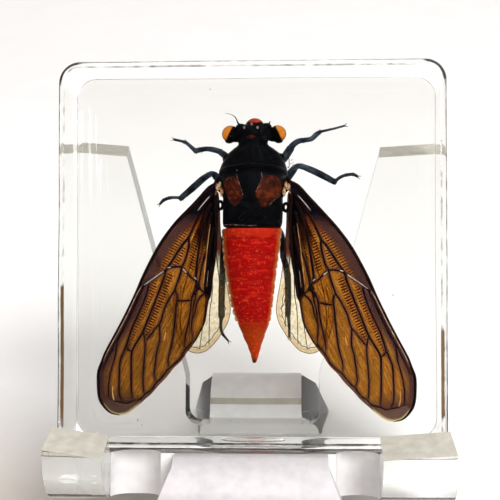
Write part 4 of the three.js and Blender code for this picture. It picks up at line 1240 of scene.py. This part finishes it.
reach = np.hypot((drawn[:, 0] - 0.15) / 1.05, (drawn[:, 1] - 14.6) / 0.5)
set_mask(body, "face_red", 1 - ramp(reach, 0.75, 1.05))
place(body, ["cicada_head_thorax"])

painted_back_highlight, surface, where = blank_material("air_line_back")
# Painted highlights: fine pale lines and dots along the furrows of the back stand for glints of light.
broken = add_node(painted_back_highlight, "TexNoise", {"Vector": where, "Scale": 3.0, "Detail": 3.0}).outputs["Fac"]
colour = layered(painted_back_highlight, "c8b4ac", ("4a2418", broken, 0.38, 0.56, 1))
add_node(painted_back_highlight, "BsdfPrincipled", {"Base Color": colour, "Roughness": 0.3}, {"BSDF": surface})


def back_height(u, v):
    """How high the back stands over the block's middle."""
    table = np.array(BODY_HALF_WIDTHS)
    middle, half, height = (float(np.interp(v, table[:, 0], table[:, k])) for k in (1, 2, 3))
    return -0.15 + height * max(0.0, 1 - (abs(u - middle) / half) ** 2.2) ** 0.46


shapes = []
for width, points in BACK_GLINTS:
    line = [(p.x, p.y, back_height(p.x, p.y) + 0.01) for p in smooth_line(points, 0.12)]
    if points[0][1] > 12:  # on the head, where the back's heights don't reach
        line = [(u, v, 0.95) for u, v, _ in line]
    shapes.append(tube(line, [width] * len(line), 6))
place(object_of("cicada_back_glints", *collected(*shapes), painted_back_highlight))

amber_eye, surface, where, covered, rim = blank_material("amber_compound_eye", "covered", "rim")
# A thin bulging lens of thousands of facets over clear amber pigment, with a brown rim and a black inner part.
facets = add_node(amber_eye, "TexVoronoi", {"Vector": where, "Scale": 14.0}).outputs["Distance"]
colour = layered(
    amber_eye, "ffcc68",
    ("ffa030", facets, 0.2, 0.6, 0.7),
    ("8a4408", rim, 0.0, 1.0, 0.9),
    ("060406", covered, 0.0, 1.0, 1.0),
)
dimples = add_node(amber_eye, "Bump", {"Height": facets, "Strength": 0.3, "Distance": 0.00002}).outputs["Normal"]
lens = add_node(
    amber_eye,
    "BsdfPrincipled",
    {"Base Color": colour, "Normal": dimples, "Roughness": 0.22, "Specular IOR Level": 0.06},
).outputs["BSDF"]
# The pigment is clear enough that the pale room behind shows through it.
lit = add_node(amber_eye, "BsdfTransparent", {"Color": colour}).outputs["BSDF"]
add_node(amber_eye, "MixShader", {0: 0.6, 1: lens, 2: lit}, {"Shader": surface})
for side, name, u, v in ((-1, "left", -2.4, 12.98), (1, "right", 2.6, 12.98)):
    radii = (0.93, 0.9, 0.9)
    points, faces = ball((u, v, 0.1), radii, 24, 40)
    eye = object_of(f"cicada_eye_{name}", points, faces, amber_eye)
    flat = np.array(points)
    outward = side * (flat[:, 0] - u)
    set_mask(eye, "covered", 1 - ramp(0.9 * outward + 0.436 * (flat[:, 1] - v), 0.08, 0.2))
    set_mask(eye, "rim", ramp(np.hypot(outward / radii[0], (flat[:, 1] - v) / radii[1]), 0.9, 0.97))
    place(eye)

ocellus, surface, where = blank_material("ocellus_red_lens")
# Three small simple eyes: clear domes over pinkish grey.
speck = add_node(ocellus, "TexNoise", {"Vector": where, "Scale": 9.0}).outputs["Fac"]
colour = layered(ocellus, "6a3a48", ("c8a8b0", speck, 0, 1, 1))
add_node(
    ocellus,
    "BsdfPrincipled",
    {"Base Color": colour, "Roughness": 0.15, "Coat Weight": 0.6, "Coat Roughness": 0.05},
    {"BSDF": surface},
)
OCELLI = [(-0.92, 13.55, 1.3), (0.5, 13.55, 1.36), (-0.15, 13.95, 1.0)]
shapes = [ball(middle, (0.13, 0.15, 0.11)) for middle in OCELLI]
place(object_of("cicada_ocelli", *collected(*shapes), ocellus))

# Feelers are short stiff bristles on a thick base; the right one has broken off.
feeler = knobbed([(-1.45, 13.95, 0.2, 0.26), (-1.65, 14.2, 0.22, 0.16), (-1.9, 14.75, 0.25, 0.09),
                  (-2.4, 15.08, 0.25, 0.06), (-2.95, 15.18, 0.25, 0.035)], 8)
stump = knobbed([(1.6, 13.95, 0.2, 0.26), (1.75, 14.15, 0.2, 0.16), (1.8, 14.3, 0.2, 0.1)], 8)
place(object_of("cicada_feelers", *collected(feeler, stump), black_cuticle))

hinge_plate, surface, where = blank_material("wing_hinge_amber")
# Hinge plates at the roots of the wings: cream and amber, ridged, brown where they thicken.
patchy = add_node(hinge_plate, "TexNoise", {"Vector": where, "Scale": 2.6, "Detail": 4.0}).outputs["Fac"]
colour = layered(hinge_plate, "f0c898", ("c46a24", patchy, 0.44, 0.54, 1), ("2a0e08", patchy, 0.54, 0.6, 1))
add_node(
    hinge_plate,
    "BsdfPrincipled",
    {"Base Color": colour, "Roughness": 0.2, "Coat Weight": 0.3, "Coat Roughness": 0.1},
    {"BSDF": surface},
)
shapes = []
for side in (-1, 1):
    shapes += [
        ball((side * 3.5, 7.45, 1.3), (0.17, 0.38, 0.2)),
        ball((side * 3.82, 7.3, 1.25), (0.14, 0.34, 0.16)),
        ball((side * 3.3, 6.7, 1.5), (0.2, 0.5, 0.3)),
        knobbed([(side * 3.45, 7.1, 1.2, 0.1), (side * 3.85, 6.9, 1.2, 0.18), (side * 3.95, 6.4, 1.1, 0.12),
                 (side * 3.9, 5.8, 0.95, 0.08)], 10),
    ]
place(object_of("cicada_wing_hinges", *collected(*shapes), hinge_plate))
shapes = []
for side, v in ((-1, 5.35), (1, 5.1)):
    loop = [(side * (3.5 + 0.27 * math.cos(a)), v + 0.42 * math.sin(a), 0.6, 0.34) for a in np.linspace(0, 5.9, 9)]
    shapes += [
        knobbed(loop, 10),
        knobbed([(side * 3.0, 6.3, 0.7, 0.5), (side * 3.3, 6.7, 0.8, 0.4), (side * 3.7, 7.05, 0.9, 0.34),
                 (side * 4.1, 7.3, 0.9, 0.4)], 10),
        knobbed([(side * 3.4, 8.2, 0.7, 0.7), (side * 3.8, 7.9, 0.8, 0.5), (side * 4.1, 7.5, 0.9, 0.4)], 10),
        knobbed([(side * 3.6, 4.9, 0.5, 0.3), (side * 3.85, 4.4, 0.6, 0.24), (side * 3.95, 3.6, 0.7, 0.22),
                 (side * 3.9, 2.2, 0.7, 0.2), (side * 3.85, 0.6, 0.6, 0.14)], 10),
    ]
place(object_of("cicada_wing_joints", *collected(*shapes), black_cuticle))

# ---- Legs
# Six jointed legs: thick thighs, shins with a row of short spines, knobbed feet and a pair of claws on each. The
# front two pairs are spread for display and the hind pair lies back along the abdomen.
LEG_SWELL = 1.22  # thickens every width drawn below
LEG_LINES = {
    # stations (u, v, w, width) of each joint of the leg, from the body out
    "fore_left": (
        [(-2.6, 10.2, -1.7, 0.8), (-3.1, 10.85, -2.0, 0.62), (-3.6, 11.25, -2.2, 0.55)],
        [(-3.5, 11.25, -2.2, 0.52), (-4.3, 11.5, -2.3, 0.5), (-5.2, 11.62, -2.45, 0.44), (-6.35, 11.42, -2.6, 0.5)],
        [(-6.3, 11.4, -2.6, 0.44), (-6.7, 11.75, -2.65, 0.36), (-7.3, 12.3, -2.75, 0.3), (-7.5, 12.42, -2.8, 0.3)],
        [(-7.5, 12.42, -2.8, 0.26), (-8.0, 12.55, -2.9, 0.24), (-8.7, 12.72, -3.0, 0.24)],
    ),
    "fore_right": (
        [(2.7, 10.1, -1.7, 0.85), (3.3, 10.6, -2.0, 0.75), (4.0, 11.65, -2.2, 0.7)],
        [(3.9, 11.5, -2.2, 0.62), (4.25, 12.0, -2.3, 0.55), (4.85, 12.4, -2.35, 0.5), (5.5, 12.5, -2.45, 0.44)],
        [(5.4, 12.5, -2.45, 0.42), (6.2, 12.65, -2.55, 0.44), (6.7, 13.1, -2.65, 0.48), (7.15, 13.42, -2.7, 0.34)],
        [(7.1, 13.42, -2.7, 0.26), (7.8, 13.58, -2.8, 0.22), (8.8, 13.82, -2.95, 0.2), (9.8, 14.1, -3.1, 0.18)],
    ),
    "mid_left": (
        [(-2.9, 8.0, -1.5, 0.9), (-3.8, 8.35, -2.0, 0.72), (-4.3, 8.85, -2.2, 0.6)],
        [(-4.2, 8.8, -2.2, 0.55), (-4.6, 8.9, -2.25, 0.5), (-5.0, 8.72, -2.35, 0.5)],
        [(-4.9, 8.78, -2.35, 0.5), (-5.6, 8.3, -2.5, 0.62), (-6.7, 7.35, -2.65, 0.64), (-8.0, 6.25, -2.8, 0.5)],
        [(-7.9, 6.3, -2.8, 0.3), (-8.5, 6.38, -2.9, 0.26), (-9.2, 6.34, -3.0, 0.3), (-9.85, 6.1, -3.1, 0.3),
         (-10.25, 5.7, -3.2, 0.24)],
    ),
    "mid_right": (
        [(2.9, 8.0, -1.5, 0.9), (3.7, 8.6, -2.0, 0.8), (4.45, 9.5, -2.2, 0.6)],
        [(4.35, 9.45, -2.2, 0.55), (4.75, 9.68, -2.25, 0.5), (5.2, 9.65, -2.35, 0.5)],
        [(5.1, 9.68, -2.35, 0.48), (6.0, 9.35, -2.5, 0.58), (7.2, 8.8, -2.7, 0.62), (8.75, 7.98, -2.9, 0.52)],
        [(8.65, 8.0, -2.9, 0.32), (9.3, 8.5, -2.95, 0.28), (9.95, 8.75, -3.0, 0.3), (10.7, 8.82, -3.05, 0.3),
         (11.2, 8.6, -3.1, 0.26)],
    ),
    "hind_left": (
        [(-2.2, 3.2, -2.6, 0.9), (-3.1, 2.2, -2.8, 0.6), (-3.3, 0.6, -2.6, 0.5)],
        [(-3.3, 0.9, -2.6, 0.5), (-3.38, -1.3, -2.3, 0.58), (-3.45, -3.6, -2.2, 0.6), (-3.5, -6.5, -2.0, 0.56)],
        [(-3.5, -6.4, -2.0, 0.34), (-3.55, -7.7, -2.05, 0.27), (-3.35, -8.4, -2.1, 0.26), (-2.75, -9.15, -2.2, 0.18)],
    ),
    "hind_right": (
        [(2.2, 3.2, -2.6, 0.9), (3.0, 2.0, -2.8, 0.6), (3.15, -0.2, -2.6, 0.5)],
        [(3.12, 0.1, -2.6, 0.5), (3.6, -1.8, -2.35, 0.6), (3.7, -4.2, -2.2, 0.58), (3.66, -6.4, -2.0, 0.5)],
        [(3.7, -6.3, -2.0, 0.34), (3.8, -7.4, -2.05, 0.26), (3.82, -8.7, -2.2, 0.22)],
    ),
}

leg_cuticle, surface, where = blank_material("charcoal_leg_cuticle")
# Slate-black chitin, satin, with fine ribs and a bluish bloom on the shins.
bloom = add_node(leg_cuticle, "TexNoise", {"Vector": where, "Scale": 1.1, "Detail": 4.0}).outputs["Fac"]
colour = layered(leg_cuticle, "141a22", ("42505e", bloom, 0.4, 0.65, 1))
ribs = add_node(leg_cuticle, "TexNoise", {"Vector": where, "Scale": 11.0, "Detail": 2.0}).outputs["Fac"]
relief = add_node(leg_cuticle, "Bump", {"Height": ribs, "Strength": 0.4, "Distance": 0.00003}).outputs["Normal"]
add_node(
    leg_cuticle,
    "BsdfPrincipled",
    {"Base Color": colour, "Normal": relief, "Roughness": 0.45, "Specular IOR Level": 0.08},
    {"BSDF": surface},
)


def thorn(root, direction, length, width):
    root, direction = Vector(root), Vector(direction).normalized()
    return tube([root, root + direction * length * 0.6, root + direction * length], [width, width * 0.6, 0.02], 6)


for leg, drawn_joints in LEG_LINES.items():
    joints = [[(u, v, w, width * LEG_SWELL) for u, v, w, width in joint] for joint in drawn_joints]
    shapes = [knobbed(joint) for joint in joints]
    for joint in joints[1:-1]:
        a, b = Vector(joint[-2][:3]), Vector(joint[-1][:3])
        forward = (b - a).normalized()
        aside = forward.cross(Vector((0, 0, 1))).normalized()
        reach = joint[-1][3] / 2
        for k, where_along in enumerate((0.35, 0.6, 0.85)):
            out = aside * (1 if k % 2 else -1)
            shapes.append(thorn(a.lerp(b, where_along) + out * reach * 0.7, out + forward * 0.9, 0.24, 0.09))
        for out in (aside, -aside):
            shapes.append(thorn(b + out * reach * 0.5, out * 0.6 + forward, 0.28, 0.1))
    foot = joints[-1]
    for k in range(1, len(foot) - 1):
        shapes.append(ball(foot[k][:3], (foot[k][3] * 0.58,) * 3, 8, 16))
    end = Vector(foot[-1][:3])
    forward = (end - Vector(foot[-2][:3])).normalized()
    aside = forward.cross(Vector((0, 0, 1))).normalized()
    for out in (aside, -aside):
        claw = smooth_line([end, end + forward * 0.14 + out * 0.1, end + forward * 0.3 + out * 0.16,
                            end + forward * 0.38 + out * 0.13 + Vector((0, 0, -0.1))], 0.05)
        shapes.append(tube(claw, np.linspace(0.12, 0.03, len(claw)), 6))
    made = object_of(f"cicada_leg_{leg}", *collected(*shapes), leg_cuticle)
    place(made, [f"leg_{leg}"])

# ---- Floor, light and camera
# A pale sweep of paper that runs up behind, lit by a broad soft box overhead and a small one from the front right.
# The room is pale at the sides and dark behind the viewer, so that the block's face shows no veil of light.
SWEEP = [(-0.5, 0.0), (0.25, 0.0), (0.4, 0.02), (0.52, 0.1), (0.58, 0.25), (0.6, 0.6)]
SWEEP_HALF_WIDTH = 0.7
floor_mesh = bpy.data.meshes.new("paper_sweep")
floor_mesh.from_pydata(
    [(x, y, z) for y, z in SWEEP for x in (-SWEEP_HALF_WIDTH, SWEEP_HALF_WIDTH)],
    [],
    [(2 * i, 2 * i + 1, 2 * i + 3, 2 * i + 2) for i in range(len(SWEEP) - 1)],
)
floor_mesh.attributes.new("room_m", "FLOAT_VECTOR", "POINT").data.foreach_set(
    "vector", [part for vertex in floor_mesh.vertices for part in vertex.co]
)
floor_mesh.shade_smooth()
floor = bpy.data.objects.new("paper_sweep", floor_mesh)
scene.collection.objects.link(floor)
paper, surface, where = blank_material("matt_white_paper", places="room_m")
# Uncoated paper: no gloss, faintly cloudy. Greyer and warmer towards its near left edge is painted shade, standing for
# the light falling off in front of the stand.
fibres = add_node(paper, "TexNoise", {"Vector": where, "Scale": 60.0, "Detail": 4.0}).outputs["Fac"]
painted_falloff_share = add_node(paper, "VectorMath", {0: where, 1: (-0.5, -1, 0)}, operation="DOT_PRODUCT").outputs["Value"]
tone = layered(paper, "f3f1f0", ("faf8f7", fibres, 0, 1, 1), ("bfb4a8", painted_falloff_share, -0.008, 0.025, 1))
add_node(paper, "BsdfPrincipled", {"Base Color": tone, "Roughness": 0.9}, {"BSDF": surface})
floor.data.materials.append(paper)
floor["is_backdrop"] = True


def soft_box(name, where, aim, size, watts):
    light = bpy.data.lights.new(name, "AREA")
    light.shape, light.size, light.size_y = "RECTANGLE", size[0], size[1]
    light.energy = watts
    made = bpy.data.objects.new(name, light)
    scene.collection.objects.link(made)
    made.location = where
    made.rotation_mode = "QUATERNION"
    made.rotation_quaternion = (Vector(aim) - Vector(where)).to_track_quat("-Z", "Y")
    return made


soft_box("overhead_box", (0, 0.34, 0.6), (0, 0.28, 0), (1.2, 1.0), 2.62)
soft_box("front_box", (0.2, -0.28, 0.34), (0, 0, 0.02), (0.25, 0.25), 2.6)

world = bpy.data.worlds.new("studio_room")
scene.world = world
world.use_nodes = True
world.node_tree.nodes.clear()
shown = world.node_tree.nodes.new("ShaderNodeOutputWorld")
direction = add_node(world, "TexCoord").outputs["Generated"]
to_front = add_node(world, "VectorMath", {0: direction, 1: (0, -0.934, 0.358)}, operation="DOT_PRODUCT")
pale = {"Value": to_front.outputs["Value"], "From Min": 0.94, "From Max": 0.975, "To Min": 0.5, "To Max": 0.03}
strength = add_node(world, "MapRange", pale).outputs["Result"]
add_node(world, "Background", {"Color": "f8f5f3", "Strength": strength}, {"Background": shown.inputs["Surface"]})


def in_room(u, v, w):
    """A point of the block's frame, in the room."""
    return block_frame @ (Vector((u, v, w)) * MM)


scene.view_settings.view_transform = "Standard"
camera_data = bpy.data.cameras.new("camera")
camera_data.lens = 78.0
camera_data.clip_start = 0.005
camera_data.shift_x, camera_data.shift_y = -0.001, 0.021
camera = bpy.data.objects.new("camera", camera_data)
scene.collection.objects.link(camera)
CAMERA_PLACE = (5.14, -3.61, 118)  # in the block's frame, like the two turns
YAW, PITCH = math.radians(2.7), math.radians(1.53)
camera.matrix_world = (
    Matrix.Translation(in_room(*CAMERA_PLACE))
    @ block_frame.to_3x3().to_4x4()
    @ Matrix.Rotation(YAW, 4, "Y")
    @ Matrix.Rotation(PITCH, 4, "X")
)
scene.camera = camera

low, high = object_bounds()
